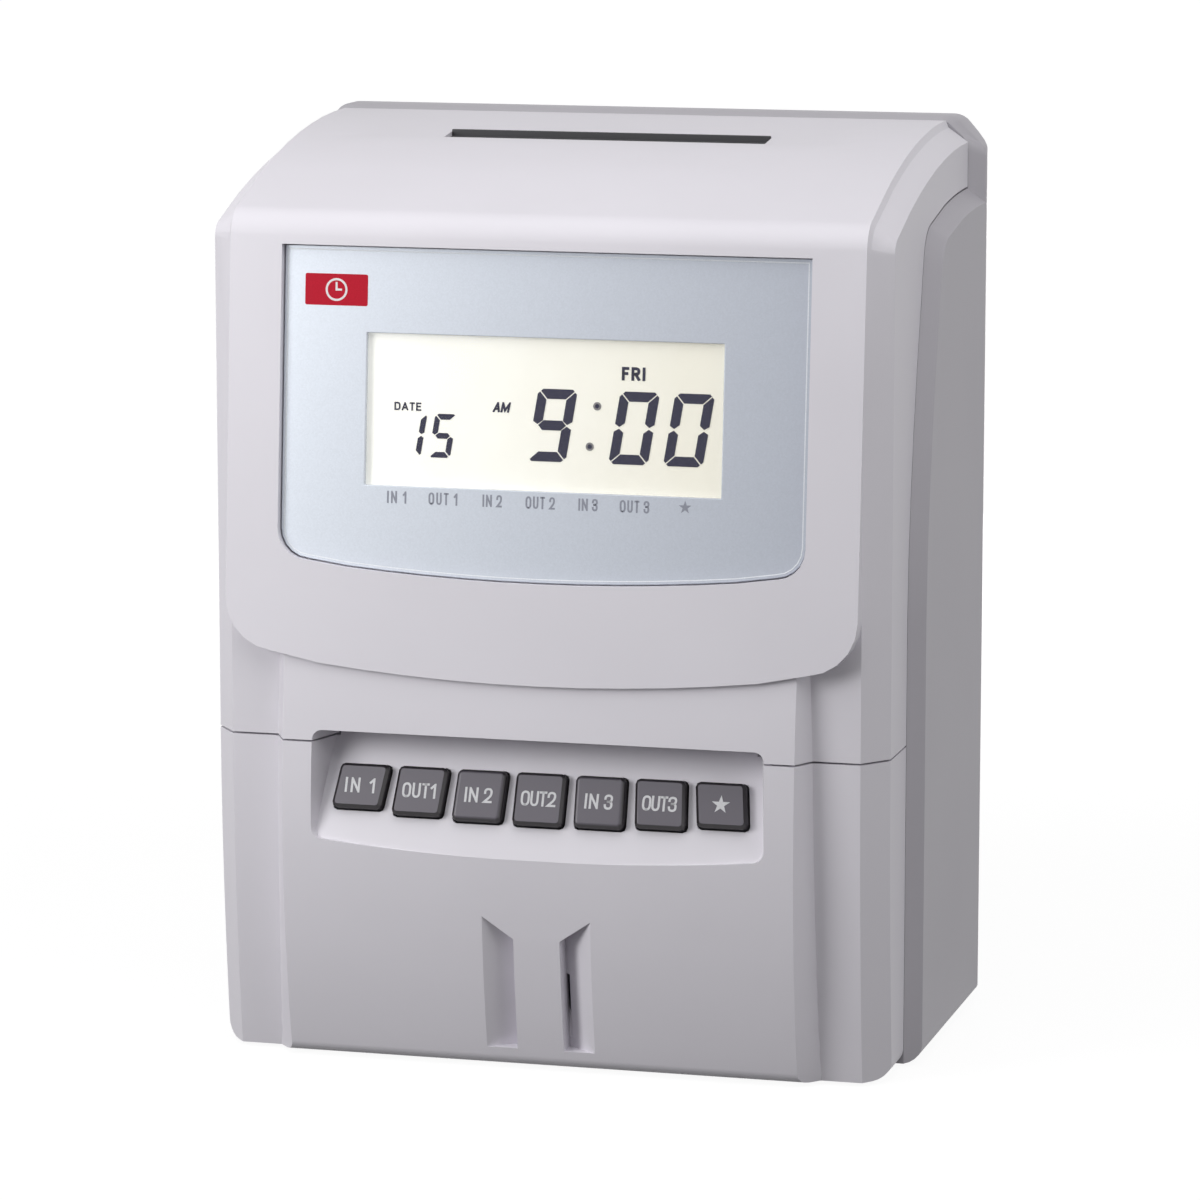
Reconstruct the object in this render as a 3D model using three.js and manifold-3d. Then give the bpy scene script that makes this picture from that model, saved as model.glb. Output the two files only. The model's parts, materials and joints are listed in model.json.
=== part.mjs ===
// A desktop time clock: a moulded case in three shells, a display hood, seven keys,
// and inside it the card chute, the card lift, the dot printer and the power supply.
// Millimetres. +X is the right of the clock, +Y goes into it, +Z is up.
// The origin lies under the middle of the clock, on the table.

import * as THREE from "three";
import { mergeVertices } from "three/addons/utils/BufferGeometryUtils.js";
import Module from "manifold-3d";

const wasm = await Module();
wasm.setup();

// Overall sizes
const WIDTH = 185;
const DEPTH = 120;
const HEIGHT = 238;
const WALL = 2.5;
const SEAM_GAP = 0.5;
const SEAT = 0.3;
const OVERRUN = 2;
const SHEET = 1.2;

// Case shells: the front covers are narrower than the rear case, which has a bevelled front rim
const RIM_BEVEL = 4;
const EDGE_CHAMFER = 6;
const EDGE_SETBACK = 7.7;
const EDGE_DROP = 5.5;
const EDGE_BAND_WIDTH = 0.8;
const EDGE_BAND_DROP = 1.8;
const SEAM_HEIGHT = 83;
const BASE_TUCK = 5;
const TUCK_POWER = 2;
const RIM_SETBACK = 27;
const RIM_LEAN = 17.8;
const RIM_LEAN_OVER_SEAM = 32;
const RIM_TOP_DROP = 26;
const RIM_LEAN_POWER = 1.7;
const RIM_DROP = 12.2;
const RIM_RADIUS = 10;
const COLLAR_DEPTH = 14.2;
const COLLAR_STAND = 1;
const COLLAR_CHAMFER = 8.5;
const COLLAR_RADIUS = 5;
const BACK_RADIUS = 9;
const BACK_TOP_RADIUS = 3;
const BACK_BASE_CHAMFER = 7;
const BASE_CORNER_RADIUS = 4;

// Display hood
const LIP_OVER_SEAM = 17;
const LIP_RISE = 7;
const LIP_RADIUS = 13.5;
const HOOD_STAND = 6.3;
const HOOD_LEAN = 9.4;
const BEND_DROP = 20;
const BEND_RADIUS = 8;
const EDGE_BEND_RADIUS = 4;
const TOP_DROP = 18.3;
const TOP_START = 6.5;

// Bulge in the middle of the front
const BULGE_MARGIN = 15.5;
const BULGE_STAND = 7;
const BULGE_DRAFT = 3.4;
const BULGE_TOP_STAND = 4.8;
const BULGE_BASE_STAND = 0.5;
const BULGE_CREST_HEIGHT = 60;
const BULGE_BASE_RADIUS = 3.5;

// Display panel, window and electronics, as depths behind the hood's face
const PANEL_SIDE_MARGIN = 14;
const PANEL_TOP_MARGIN = 7.2;
const PANEL_BOTTOM_MARGIN = 25.9;
const PANEL_RISE = 4.3;
const PANEL_RADIUS = 7.7;
const PANEL_RECESS = 2;
const PANEL_THICKNESS = 1.5;
const PANEL_CLEARANCE = 0.3;
const WINDOW_SIDE_MARGIN = 22.3;
const WINDOW_LOW_SHARE = 0.281;
const WINDOW_HIGH_SHARE = 0.737;
const LCD_MARGIN = 4;
const LCD_THICKNESS = 2.8;
const BACKLIGHT_THICKNESS = 5.8;
const BOARD_THICKNESS = 1.6;
const BOARD_SIDE_MARGIN = 2.5;
const BOARD_LOW_MARGIN = 2.1;
const BOARD_HIGH_MARGIN = 3.8;
const POST_RADIUS = 2.6;
const POST_MARGIN = 4;
const CHIP_SIZE = 14;
const CHIP_PITCH = 24;
const CHIP_HEIGHT = 2.2;
const BUZZER_RADIUS = 6;
const BUZZER_HEIGHT = 5;
const BATTERY_RADIUS = 7;
const BATTERY_LENGTH = 45;

// Key field: a slanted deck in the bulge, and seven keys
const KEY_COUNT = 7;
const KEY_FIELD_MARGIN = 4.7;
const KEY_SPACE = 2.7;
const KEY_TOP = 22.5;
const KEY_LENGTH = 13.6;
const KEY_SMILE = 2;
const KEY_STAND = 2.8;
const KEY_RADIUS = 1.3;
const KEY_BEVEL = 0.8;
const KEY_FAN = 1.5;
const KEY_CLEARANCE = 0.35;
const KEY_TRAVEL = 1.6;
const KEY_FLANGE_THICKNESS = 1;
const STEM_RADIUS = 1.8;
const STEM_LENGTH = 2;
const DECK_ANGLE = 23;
const DECK_MARGIN = 7;
const DECK_BELOW_SEAM = 27.9;
const DECK_RISE = 2.9;
const DECK_NOTCH = 3;
const DECK_RADIUS = 3;
const DECK_TOP_RADIUS = 2.6;
const DECK_DRAFT = 5;
const SWITCH_SIZE = 6;
const SWITCH_HEIGHT = 3.2;
const PLUNGER_RADIUS = 1.7;

// Finger grips in the foot of the bulge
const GRIP_OUTER = 14.3;
const GRIP_INNER = 6.1;
const GRIP_BOTTOM = 4.8;
const GRIP_TOP = 40;
const GRIP_SLANT = 5.6;
const GRIP_DEPTH = 6;
const SLIT_WIDTH = 1;
const SLIT_DEPTH = 1.4;
const SLIT_BOTTOM = 7.5;
const SLIT_TOP = 24.6;

// Card slot with its mouth, the notch around it and the chute
const SLOT_WIDTH = 86;
const SLOT_GAP = 4.8;
const SLOT_SETBACK = 59.7;
const MOUTH_REACH = 3;
const MOUTH_DEPTH = 2.6;
const NOTCH_REACH = 22.5;
const NOTCH_LEAD = 5;
const NOTCH_FRONT_DEPTH = 0.6;
const NOTCH_DEPTH = 0.8;
const NOTCH_LENGTH = 36;
const NOTCH_DRAFT = 7;
const CHUTE_GAP = 5.2;
const CHUTE_MARGIN = 4;
const CHUTE_TOP_GAP = 3;

// Frames of the mechanism
const FRAME_OVER_CORE = 6.2;
const FRAME_OVER_PRINT = 18.5;
const FRAME_STEP_DROP = 35;
const FRAME_CLEARANCE = 2.9;
const FRAME_LOWER_FRONT = 12;
const FLANGE_WIDTH = 12;

// Card lift: stop, screw, gears and motor
const STOP_WIDTH = 76;
const STOP_HEIGHT = 6;
const STOP_THICKNESS = 3.2;
const STOP_OVER_FRAME = 10;
const STOP_BELOW_WINDOW = 22;
const STOP_ARM = 5;
const STOP_ARM_SLOT = 7;
const NUT_WIDTH = 14;
const NUT_HEIGHT = 10;
const SCREW_RADIUS = 3;
const SCREW_CLEARANCE = 0.3;
const GEAR_MODULE = 1;
const GEAR_TEETH = 20;
const PINION_TEETH = 10;
const GEAR_WIDTH = 4;
const TOOTH_BACKLASH = 0.35;
const TOOTH_ROOT_SHARE = 0.3;
const TOOTH_TIP_SHARE = 0.12;
const MOTOR_RADIUS = 9;
const MOTOR_LENGTH = 23;
const SHAFT_RADIUS = 1;

// Printer: rails, carriage, head, ribbon
const PRINT_DROP = 57;
const RAIL_RADIUS = 2.5;
const RAIL_SETBACK = 29;
const RAIL_SPACING = 13;
const DRIVE_DROP = 14;
const DRIVE_RADIUS = 2;
const CARRIAGE_WIDTH = 24;
const CARRIAGE_DEPTH = 12;
const CARRIAGE_MARGIN = 4.5;
const CARRIAGE_SIDE_MARGIN = 5.3;
const HEAD_WIDTH = 16;
const HEAD_HEIGHT = 15;
const HEAD_NOSE = 6;
const HEAD_BODY_LENGTH = 8;
const HEAD_FINS = 4;
const PRINT_WINDOW_MARGIN = 3;
const PRINT_WINDOW_HEIGHT = 14;
const PLATEN_DEPTH = 6;
const CASSETTE_HEIGHT = 13;
const CASSETTE_DEPTH = 34;
const PRONG_WIDTH = 2.2;
const PRONG_DEPTH = 5;
const RIBBON_HEIGHT = 9;
const RIBBON_THICKNESS = 0.4;
const KNOB_RADIUS = 7;
const KNOB_HEIGHT = 4;
const KNOB_LOBES = 10;

// Power supply
const CORE_WIDTH = 42;
const CORE_HEIGHT = 35;
const CORE_DEPTH = 22;
const CORE_LIMB = 7;
const CORE_MARGIN = 4;
const COIL_BULGE = 6;
const POWER_BOARD_WIDTH = 56;
const POWER_BOARD_DEPTH = 44;
const POWER_BOARD_MARGIN = 8;
const BOARD_LIFT = 4;
const CAPACITOR_RADIUS = 6;
const CAPACITOR_HEIGHT = 18;
const INLET_WIDTH = 22;
const INLET_HEIGHT = 14;
const INLET_DEPTH = 15;
const INLET_MARGIN = 32.5;
const INLET_BELOW_FRAME = 12;
const SOCKET_WIDTH = 16;
const SOCKET_HEIGHT = 8.6;
const SOCKET_DEPTH = 12.5;
const PIN_RADIUS = 1.15;
const PIN_SPACING = 8.6;
const PIN_LENGTH = 11;

// Back and base: hanger plates, screws, feet
const HANGER_WIDTH = 26;
const HANGER_HEIGHT = 32;
const HANGER_THICKNESS = 1.2;
const HANGER_MARGIN = 40.5;
const HANGER_DROP = 47;
const KEYHOLE_RADIUS = 5;
const KEYHOLE_SLOT = 2.6;
const KEYHOLE_LENGTH = 11;
const CASE_SCREW_HEAD = 3.2;
const CASE_SCREW_SHANK = 1.5;
const CASE_SCREW_LENGTH = 9;
const CASE_SCREW_OVER_FRAME = 18;
const CASE_SCREW_BELOW_FRAME = 47.5;
const BOSS_LENGTH = 3;
const HEAD_THICKNESS = 1.4;
const FOOT_RADIUS = 7;
const FOOT_THICKNESS = 2.2;
const FOOT_STAND = 1;
const FOOT_SIDE_MARGIN = 24.5;
const FOOT_MARGIN = 12;

// Worked-out places, measured from the underside of the case
const BODY_HEIGHT = HEIGHT - FOOT_STAND;
const FACE_Y = -DEPTH / 2 + BULGE_STAND;
const BACK_Y = DEPTH / 2;
const COLLAR_Y = BACK_Y - COLLAR_DEPTH;
const BULGE_Y = -DEPTH / 2;
const COVER_TOP = BODY_HEIGHT - COLLAR_STAND;
const COVER_WIDTH = WIDTH - 2 * RIM_BEVEL;
const FACE_WIDTH = COVER_WIDTH - 2 * EDGE_CHAMFER;
const INNER_BACK_Y = BACK_Y - WALL;
const INNER_HALF = WIDTH / 2 - WALL;
const RIM_LEAN_START = SEAM_HEIGHT + RIM_LEAN_OVER_SEAM;
const RIM_TOP = COVER_TOP - RIM_TOP_DROP;
const LIP_HEIGHT = SEAM_HEIGHT + LIP_OVER_SEAM;
const BEND_HEIGHT = COVER_TOP - BEND_DROP;
const BULGE_WIDTH = FACE_WIDTH - 2 * BULGE_MARGIN;
const PANEL_WIDTH = FACE_WIDTH - 2 * PANEL_SIDE_MARGIN;
const PANEL_TOP = BEND_HEIGHT - PANEL_TOP_MARGIN;
const PANEL_BOTTOM = LIP_HEIGHT + PANEL_BOTTOM_MARGIN;
const PANEL_HEIGHT = PANEL_TOP - PANEL_BOTTOM;
const WINDOW_WIDTH = PANEL_WIDTH - 2 * WINDOW_SIDE_MARGIN;
const WINDOW_BOTTOM = PANEL_BOTTOM + WINDOW_LOW_SHARE * PANEL_HEIGHT;
const WINDOW_TOP = PANEL_BOTTOM + WINDOW_HIGH_SHARE * PANEL_HEIGHT;
const BOARD_WIDTH = PANEL_WIDTH - 2 * BOARD_SIDE_MARGIN;
const BOARD_BOTTOM = PANEL_BOTTOM + BOARD_LOW_MARGIN;
const BOARD_TOP = PANEL_TOP - BOARD_HIGH_MARGIN;
const DECK_WIDTH = BULGE_WIDTH - 2 * DECK_MARGIN;
const DECK_BOTTOM = SEAM_HEIGHT - DECK_BELOW_SEAM;
const DECK_TOP = SEAM_HEIGHT + DECK_NOTCH;
const KEY_PITCH = (DECK_WIDTH - 2 * KEY_FIELD_MARGIN) / KEY_COUNT;
const KEY_WIDTH = KEY_PITCH - KEY_SPACE;
const SLOT_Y = FACE_Y + SLOT_SETBACK + SLOT_GAP / 2;
const NOTCH_WIDTH = SLOT_WIDTH + 2 * NOTCH_REACH;
const CHUTE_WIDTH = SLOT_WIDTH + 2 * CHUTE_MARGIN;
const FRAME_X = CHUTE_WIDTH / 2 + SEAT;
const PRINT_HEIGHT = COVER_TOP - PRINT_DROP;
const PRINT_WINDOW_WIDTH = CHUTE_WIDTH - 2 * PRINT_WINDOW_MARGIN;
const CARRIAGE_TRAVEL = 2 * (FRAME_X - CARRIAGE_SIDE_MARGIN) - CARRIAGE_WIDTH;
const FRAME_BOTTOM = WALL + SEAT + CORE_HEIGHT + FRAME_OVER_CORE;
const INLET_Z = FRAME_BOTTOM - INLET_BELOW_FRAME;
const FRAME_TOP = PRINT_HEIGHT + FRAME_OVER_PRINT;
const FRAME_STEP = PRINT_HEIGHT - FRAME_STEP_DROP;
const STOP_REST = FRAME_BOTTOM + STOP_OVER_FRAME;

// Facets of round and curved stretches
const ROUND_STEPS = 16;
const BEND_STEPS = 5;
const CORNER_STEPS = 3;
const SMALL_STEPS = 2;
const TOP_STEPS = 8;
const NOTCH_STEPS = 4;
const LEAN_STEPS = 6;
const SMILE_STEPS = 12;

// Turning geometries into solids and back
function toSolid(geometry) {
  const plain = new THREE.BufferGeometry();
  const open = geometry.index ? geometry.toNonIndexed() : geometry;
  plain.setAttribute("position", open.getAttribute("position"));
  const merged = mergeVertices(plain, 1e-4);
  const mesh = new wasm.Mesh({
    numProp: 3,
    vertProperties: merged.attributes.position.array,
    triVerts: new Uint32Array(merged.index.array),
  });
  return new wasm.Manifold(mesh);
}

function toGeometry(solid) {
  const mesh = solid.getMesh();
  const geometry = new THREE.BufferGeometry();
  geometry.setAttribute("position", new THREE.BufferAttribute(mesh.vertProperties, 3));
  geometry.setIndex(new THREE.BufferAttribute(mesh.triVerts, 1));
  const flat = geometry.toNonIndexed();
  flat.computeVertexNormals();
  return flat;
}

function join(...solids) {
  return solids.reduce((whole, next) => whole.add(next));
}

function cut(base, ...tools) {
  return tools.reduce((whole, tool) => whole.subtract(tool), base);
}

function common(...solids) {
  return solids.reduce((whole, next) => whole.intersect(next));
}

// A solid through rings of points, each ring with as many points as the next
function loft(rings) {
  const count = rings[0].length;
  const across = new THREE.Vector3().subVectors(rings.at(-1)[0], rings[0][0]);
  const larger = (a, b) => (Math.abs(across[a]) >= Math.abs(across[b]) ? a : b);
  const axis = ["x", "y", "z"].reduce(larger);
  const [u, v] = { x: ["y", "z"], y: ["z", "x"], z: ["x", "y"] }[axis];
  const flat = rings[0].map((p) => new THREE.Vector2(p[u], p[v]));
  const turn = THREE.ShapeUtils.area(flat) > 0 === across[axis] > 0;
  const ordered = turn ? rings : rings.map((ring) => [...ring].reverse());
  const positions = ordered.flat().flatMap((p) => [p.x, p.y, p.z]);
  const index = [];
  for (let r = 0; r + 1 < ordered.length; r++)
    for (let i = 0; i < count; i++) {
      const j = (i + 1) % count;
      const [a, b] = [r * count + i, r * count + j];
      index.push(a, b, b + count, a, b + count, a + count);
    }
  for (const [r, outward] of [[0, false], [ordered.length - 1, true]]) {
    const ring = ordered[r].map((p) => new THREE.Vector2(p[u], p[v]));
    const faces = THREE.ShapeUtils.triangulateShape(ring, []);
    for (const [a, b, c] of faces) {
      const forward = THREE.ShapeUtils.area([ring[a], ring[b], ring[c]]) > 0;
      const along = across[axis] > 0;
      const keep = (forward === along) === outward;
      index.push(...(keep ? [a, b, c] : [a, c, b]).map((i) => i + r * count));
    }
  }
  const geometry = new THREE.BufferGeometry();
  geometry.setAttribute("position", new THREE.Float32BufferAttribute(positions, 3));
  geometry.setIndex(index);
  return toSolid(geometry);
}

const ringX = (x, points) => points.map(([y, z]) => new THREE.Vector3(x, y, z));
const ringY = (y, points) => points.map(([x, z]) => new THREE.Vector3(x, y, z));

// Straight prisms of an outline, along each axis
function prism(points, from, to, basis, bevel = 0) {
  const shape = new THREE.Shape(points.map(([a, b]) => new THREE.Vector2(a, b)));
  const geometry = new THREE.ExtrudeGeometry(shape, {
    depth: to - from - 2 * bevel,
    bevelEnabled: bevel > 0,
    bevelThickness: bevel,
    bevelSize: bevel,
    bevelOffset: -bevel,
    bevelSegments: 1,
    steps: 1,
  });
  geometry.translate(0, 0, from + bevel);
  return toSolid(geometry.applyMatrix4(basis));
}

const X = new THREE.Vector3(1, 0, 0);
const Y = new THREE.Vector3(0, 1, 0);
const Z = new THREE.Vector3(0, 0, 1);
const alongX = new THREE.Matrix4().makeBasis(Y, Z, X);
const alongY = new THREE.Matrix4().makeBasis(Z, X, Y);
const alongZ = new THREE.Matrix4();
const prismX = (points, from, to, bevel) => prism(points, from, to, alongX, bevel);
const prismY = (points, from, to, bevel) =>
  prism(points.map(([x, z]) => [z, x]), from, to, alongY, bevel);
const prismZ = (points, from, to, bevel) => prism(points, from, to, alongZ, bevel);

function block(x0, x1, y0, y1, z0, z1) {
  const geometry = new THREE.BoxGeometry(x1 - x0, y1 - y0, z1 - z0);
  geometry.translate((x0 + x1) / 2, (y0 + y1) / 2, (z0 + z1) / 2);
  return toSolid(geometry);
}

// A round bar between two places on the axis named, around the two other coordinates
function bar(axis, radius, from, to, a, b, sides = ROUND_STEPS) {
  const geometry = new THREE.CylinderGeometry(radius, radius, to - from, sides);
  geometry.translate(0, (from + to) / 2, 0);
  if (axis === "x") {
    geometry.rotateZ(-Math.PI / 2);
    geometry.translate(0, a, b);
  }
  if (axis === "y") geometry.translate(a, 0, b);
  if (axis === "z") {
    geometry.rotateX(Math.PI / 2);
    geometry.translate(a, b, 0);
  }
  return toSolid(geometry);
}

const mirrorX = new THREE.Matrix4().makeScale(-1, 1, 1);

function moved(solid, matrix) {
  const geometry = toGeometry(solid).applyMatrix4(matrix);
  if (matrix.determinant() > 0) return toSolid(geometry);
  const p = geometry.getAttribute("position");
  for (let i = 0; i < p.count; i += 3) {
    const a = new THREE.Vector3().fromBufferAttribute(p, i);
    const b = new THREE.Vector3().fromBufferAttribute(p, i + 1);
    p.setXYZ(i, b.x, b.y, b.z);
    p.setXYZ(i + 1, a.x, a.y, a.z);
  }
  return toSolid(geometry);
}

// Rounds the corners of an outline: each corner is [u, v, radius]
function rounded(corners, steps = BEND_STEPS) {
  const points = [];
  corners.forEach(([u, v, radius = 0], i) => {
    const here = new THREE.Vector2(u, v);
    const [pu, pv] = corners.at(i - 1);
    const [nu, nv] = corners[(i + 1) % corners.length];
    if (!radius) {
      points.push([u, v]);
      return;
    }
    const back = new THREE.Vector2(pu, pv).sub(here);
    const ahead = new THREE.Vector2(nu, nv).sub(here);
    const reach = Math.min(back.length(), ahead.length()) / 2;
    back.normalize();
    ahead.normalize();
    const half = Math.acos(THREE.MathUtils.clamp(back.dot(ahead), -1, 1)) / 2;
    const r = Math.min(radius, reach * Math.tan(half));
    const run = r / Math.tan(half);
    const between = back.clone().add(ahead).normalize();
    const middle = between.multiplyScalar(r / Math.sin(half)).add(here);
    const first = here.clone().addScaledVector(back, run).sub(middle);
    const last = here.clone().addScaledVector(ahead, run).sub(middle);
    const sweep = Math.atan2(first.cross(last), first.dot(last));
    const centre = new THREE.Vector2();
    for (let k = 0; k <= steps; k++) {
      const p = first.clone().rotateAround(centre, (sweep * k) / steps).add(middle);
      points.push([p.x, p.y]);
    }
  });
  return points;
}

// A field with straight sides and top, whose bottom edge hangs in a smile and has round corners
function smileField(halfWidth, bottom, rise, top, radius, grow = 0, topRadius = 0) {
  const wide = halfWidth + grow;
  const edge = bottom + rise - grow;
  const bow = (x) => bottom - grow + rise * (x / wide) ** 2;
  const points = [];
  const inner = wide - radius;
  const left = rounded([
    [0, top + grow], [-wide, top + grow, topRadius], [-wide, edge, radius], [0, bow(0)]]);
  points.push(...left.slice(1, -1));
  for (let k = 1; k < SMILE_STEPS; k++) {
    const x = inner * ((2 * k) / SMILE_STEPS - 1);
    points.push([x, bow(x)]);
  }
  points.push(...left.slice(1, -1).map(([x, z]) => [-x, z]).reverse());
  return points;
}

// The side view of the case, from its sizes: front line, bend, and the arched top
const topRun = COLLAR_Y - FACE_Y - TOP_START;

function archAt(y) {
  const share = (COLLAR_Y - y) / topRun;
  return COVER_TOP - TOP_DROP * share ** 2;
}

const hoodAngle = Math.atan2(HOOD_LEAN, BEND_HEIGHT - LIP_HEIGHT);
const hoodFaceAt = (z) => FACE_Y - HOOD_STAND + (z - LIP_HEIGHT) * Math.tan(hoodAngle);
const hoodCrossing = LIP_HEIGHT + HOOD_STAND / Math.tan(hoodAngle);

const tuckAt = (z) => BASE_TUCK * Math.max(0, 1 - z / SEAM_HEIGHT) ** TUCK_POWER;

// The arched side outline, from a front line given as points that go up, closed at the back
function sideOutline(front, drop, bend, back, bottom) {
  const [corner] = front.at(-1);
  const start = corner + 2 * bend;
  const top = [];
  for (let k = 1; k <= TOP_STEPS; k++) {
    const y = start + ((COLLAR_Y - start) * k) / TOP_STEPS;
    top.push([y, archAt(y) - drop]);
  }
  const peak = [corner, archAt(corner) - drop, bend];
  const outline = rounded([...front.slice(0, -1), peak, ...top]);
  return [...outline, [back, top.at(-1)[1]], [back, bottom]];
}

const faceLine = (inset, bottom) => [
  [FACE_Y + inset, bottom],
  [FACE_Y + inset, hoodCrossing],
  [hoodFaceAt(BEND_HEIGHT) + inset, BEND_HEIGHT],
];

function edgeLine(inset, bottom) {
  const y = FACE_Y + EDGE_SETBACK + inset;
  return [[y, bottom], [y, hoodCrossing], [y, BEND_HEIGHT]];
}

const ringsX = (pairs) => [
  ...pairs.toReversed().map(([x, ring]) => ringX(-x, ring)),
  ...pairs.map(([x, ring]) => ringX(x, ring)),
];

// The body of the top cover without its proud parts, or its hollow when inset by the wall:
// the face, the steep band along its edges, and the chamfer out to the sides
function coverBody(inset, bottom, back) {
  const bandSetback = (EDGE_SETBACK * EDGE_BAND_WIDTH) / EDGE_CHAMFER;
  const face = sideOutline(faceLine(inset, bottom), inset, BEND_RADIUS, back, bottom);
  const band = sideOutline(
    faceLine(inset + bandSetback, bottom), EDGE_BAND_DROP + inset, BEND_RADIUS, back, bottom);
  const edge = sideOutline(
    edgeLine(inset, bottom), EDGE_DROP + inset, EDGE_BEND_RADIUS, back, bottom);
  const faceHalf = FACE_WIDTH / 2 - inset / 2;
  return loft(ringsX([
    [faceHalf, face], [faceHalf + EDGE_BAND_WIDTH, band], [COVER_WIDTH / 2 - inset, edge]]));
}

// The line where the covers meet the rear case, in the side view, and the rim behind it
function rimLine(setback, bottom) {
  const points = [[FACE_Y + RIM_SETBACK + setback, bottom]];
  for (let k = 0; k <= LEAN_STEPS; k++) {
    const share = k / LEAN_STEPS;
    const z = RIM_LEAN_START + (RIM_TOP - RIM_LEAN_START) * share;
    points.push([FACE_Y + RIM_SETBACK + setback + RIM_LEAN * share ** RIM_LEAN_POWER, z]);
  }
  return points;
}

function rimOutline(inset, back, bottom) {
  const line = rimLine(inset, bottom);
  return sideOutline(line, EDGE_DROP + RIM_DROP + inset, RIM_RADIUS, back, bottom);
}

// Everything in front of the rear case, with the seam's gap, over the full width
function frontRegion() {
  const rim = rimOutline(-SEAM_GAP, BACK_Y + OVERRUN, -2 * OVERRUN);
  const behind = prismX(rim, -WIDTH, WIDTH);
  const before = block(-WIDTH, WIDTH, -DEPTH, COLLAR_Y - SEAM_GAP, -OVERRUN, HEIGHT + OVERRUN);
  return cut(before, behind);
}

// Everything below the seam between the covers, shifted by half its gap
function belowSeam(shift) {
  return block(-WIDTH, WIDTH, -DEPTH, DEPTH, -OVERRUN, SEAM_HEIGHT + shift);
}

// Bulge: its front line bows from the hood's lip down to the foot
function bulgeFrontAt(z) {
  const above = z > BULGE_CREST_HEIGHT;
  const reach = above ? LIP_HEIGHT - BULGE_CREST_HEIGHT : BULGE_CREST_HEIGHT;
  const loss = BULGE_STAND - (above ? BULGE_TOP_STAND : BULGE_BASE_STAND);
  return BULGE_Y + loss * ((z - BULGE_CREST_HEIGHT) / reach) ** 2;
}

const bulgeBack = FACE_Y + BASE_TUCK + 2 * WALL;

function bulgeSolid(inset, from, to, back) {
  const front = [];
  for (let k = 0; k <= SMILE_STEPS; k++) {
    const z = from + ((to - from) * k) / SMILE_STEPS;
    front.push([bulgeFrontAt(Math.max(z, 0)) + inset, z]);
  }
  const outline = [...front, [back, to], [back, from]];
  const root = FACE_Y + BASE_TUCK + WALL;
  const spread = (BULGE_DRAFT * (root - BULGE_Y)) / BULGE_STAND;
  const [a, b] = [BULGE_WIDTH / 2 - inset, BULGE_WIDTH / 2 - inset + spread];
  const shoulder = outline.map(([y, z]) => [Math.max(y, root + inset), z]);
  return loft(ringsX([[a, outline], [b, shoulder]]));
}

// Frames for what lies on slanted faces: x, depth behind the face, and distance up the face
function faceFrame(angle, y, z) {
  const up = new THREE.Vector3(0, Math.sin(angle), Math.cos(angle));
  const inward = new THREE.Vector3(0, Math.cos(angle), -Math.sin(angle));
  return new THREE.Matrix4().makeBasis(X, inward, up).setPosition(0, y, z);
}

const hoodFrame = faceFrame(hoodAngle, hoodFaceAt(LIP_HEIGHT), LIP_HEIGHT);
const onHood = (solid) => moved(solid, hoodFrame);
const upHood = (z) => (z - LIP_HEIGHT) / Math.cos(hoodAngle);
const deckAngle = THREE.MathUtils.degToRad(DECK_ANGLE);
const deckFrame = faceFrame(deckAngle, BULGE_Y, DECK_BOTTOM);
const onDeck = (solid) => moved(solid, deckFrame);

// Panel stack, as depths behind the hood's face
const panelFront = PANEL_RECESS;
const panelBack = panelFront + PANEL_THICKNESS;
const panelSeat = panelBack + PANEL_CLEARANCE;
const panelFloor = panelSeat + WALL;
const lcdFront = panelBack + SEAT;
const backlightFront = lcdFront + LCD_THICKNESS + SEAT;
const boardFront = backlightFront + BACKLIGHT_THICKNESS + SEAT;
const boardBack = boardFront + BOARD_THICKNESS;

function panelOutline(grow) {
  const [bottom, top] = [upHood(PANEL_BOTTOM), upHood(PANEL_TOP)];
  return smileField(PANEL_WIDTH / 2, bottom, PANEL_RISE, top, PANEL_RADIUS, grow);
}

function windowBlock(grow, from, to) {
  const half = WINDOW_WIDTH / 2 + grow;
  const [bottom, top] = [upHood(WINDOW_BOTTOM) - grow, upHood(WINDOW_TOP) + grow];
  return block(-half, half, from, to, bottom, top);
}

const postPlaces = [];
for (const side of [-1, 1])
  for (const z of [upHood(BOARD_BOTTOM) + POST_MARGIN, upHood(BOARD_TOP) - POST_MARGIN])
    postPlaces.push([side * (BOARD_WIDTH / 2 - POST_MARGIN), z]);

// The key field's plug: the space over the deck, or what the lower cover keeps around it
function deckPlug(grow, top) {
  const field = (half) => smileField(
    half, DECK_BOTTOM, DECK_RISE, top, DECK_RADIUS, grow, DECK_TOP_RADIUS);
  const lean = BULGE_Y + grow / Math.cos(deckAngle);
  const deckAt = (z) => lean + (z - DECK_BOTTOM) * Math.tan(deckAngle);
  const space = loft([
    ringY(BULGE_Y - OVERRUN, field(DECK_WIDTH / 2)),
    ringY(deckAt(top) + OVERRUN, field(DECK_WIDTH / 2 - DECK_DRAFT))]);
  const [low, high] = [-HEIGHT, 2 * HEIGHT];
  const front = prismX([[-2 * DEPTH, low], [deckAt(low), low], [deckAt(high), high], [-2 * DEPTH, high]],
    -WIDTH, WIDTH);
  return common(space, front);
}

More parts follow.
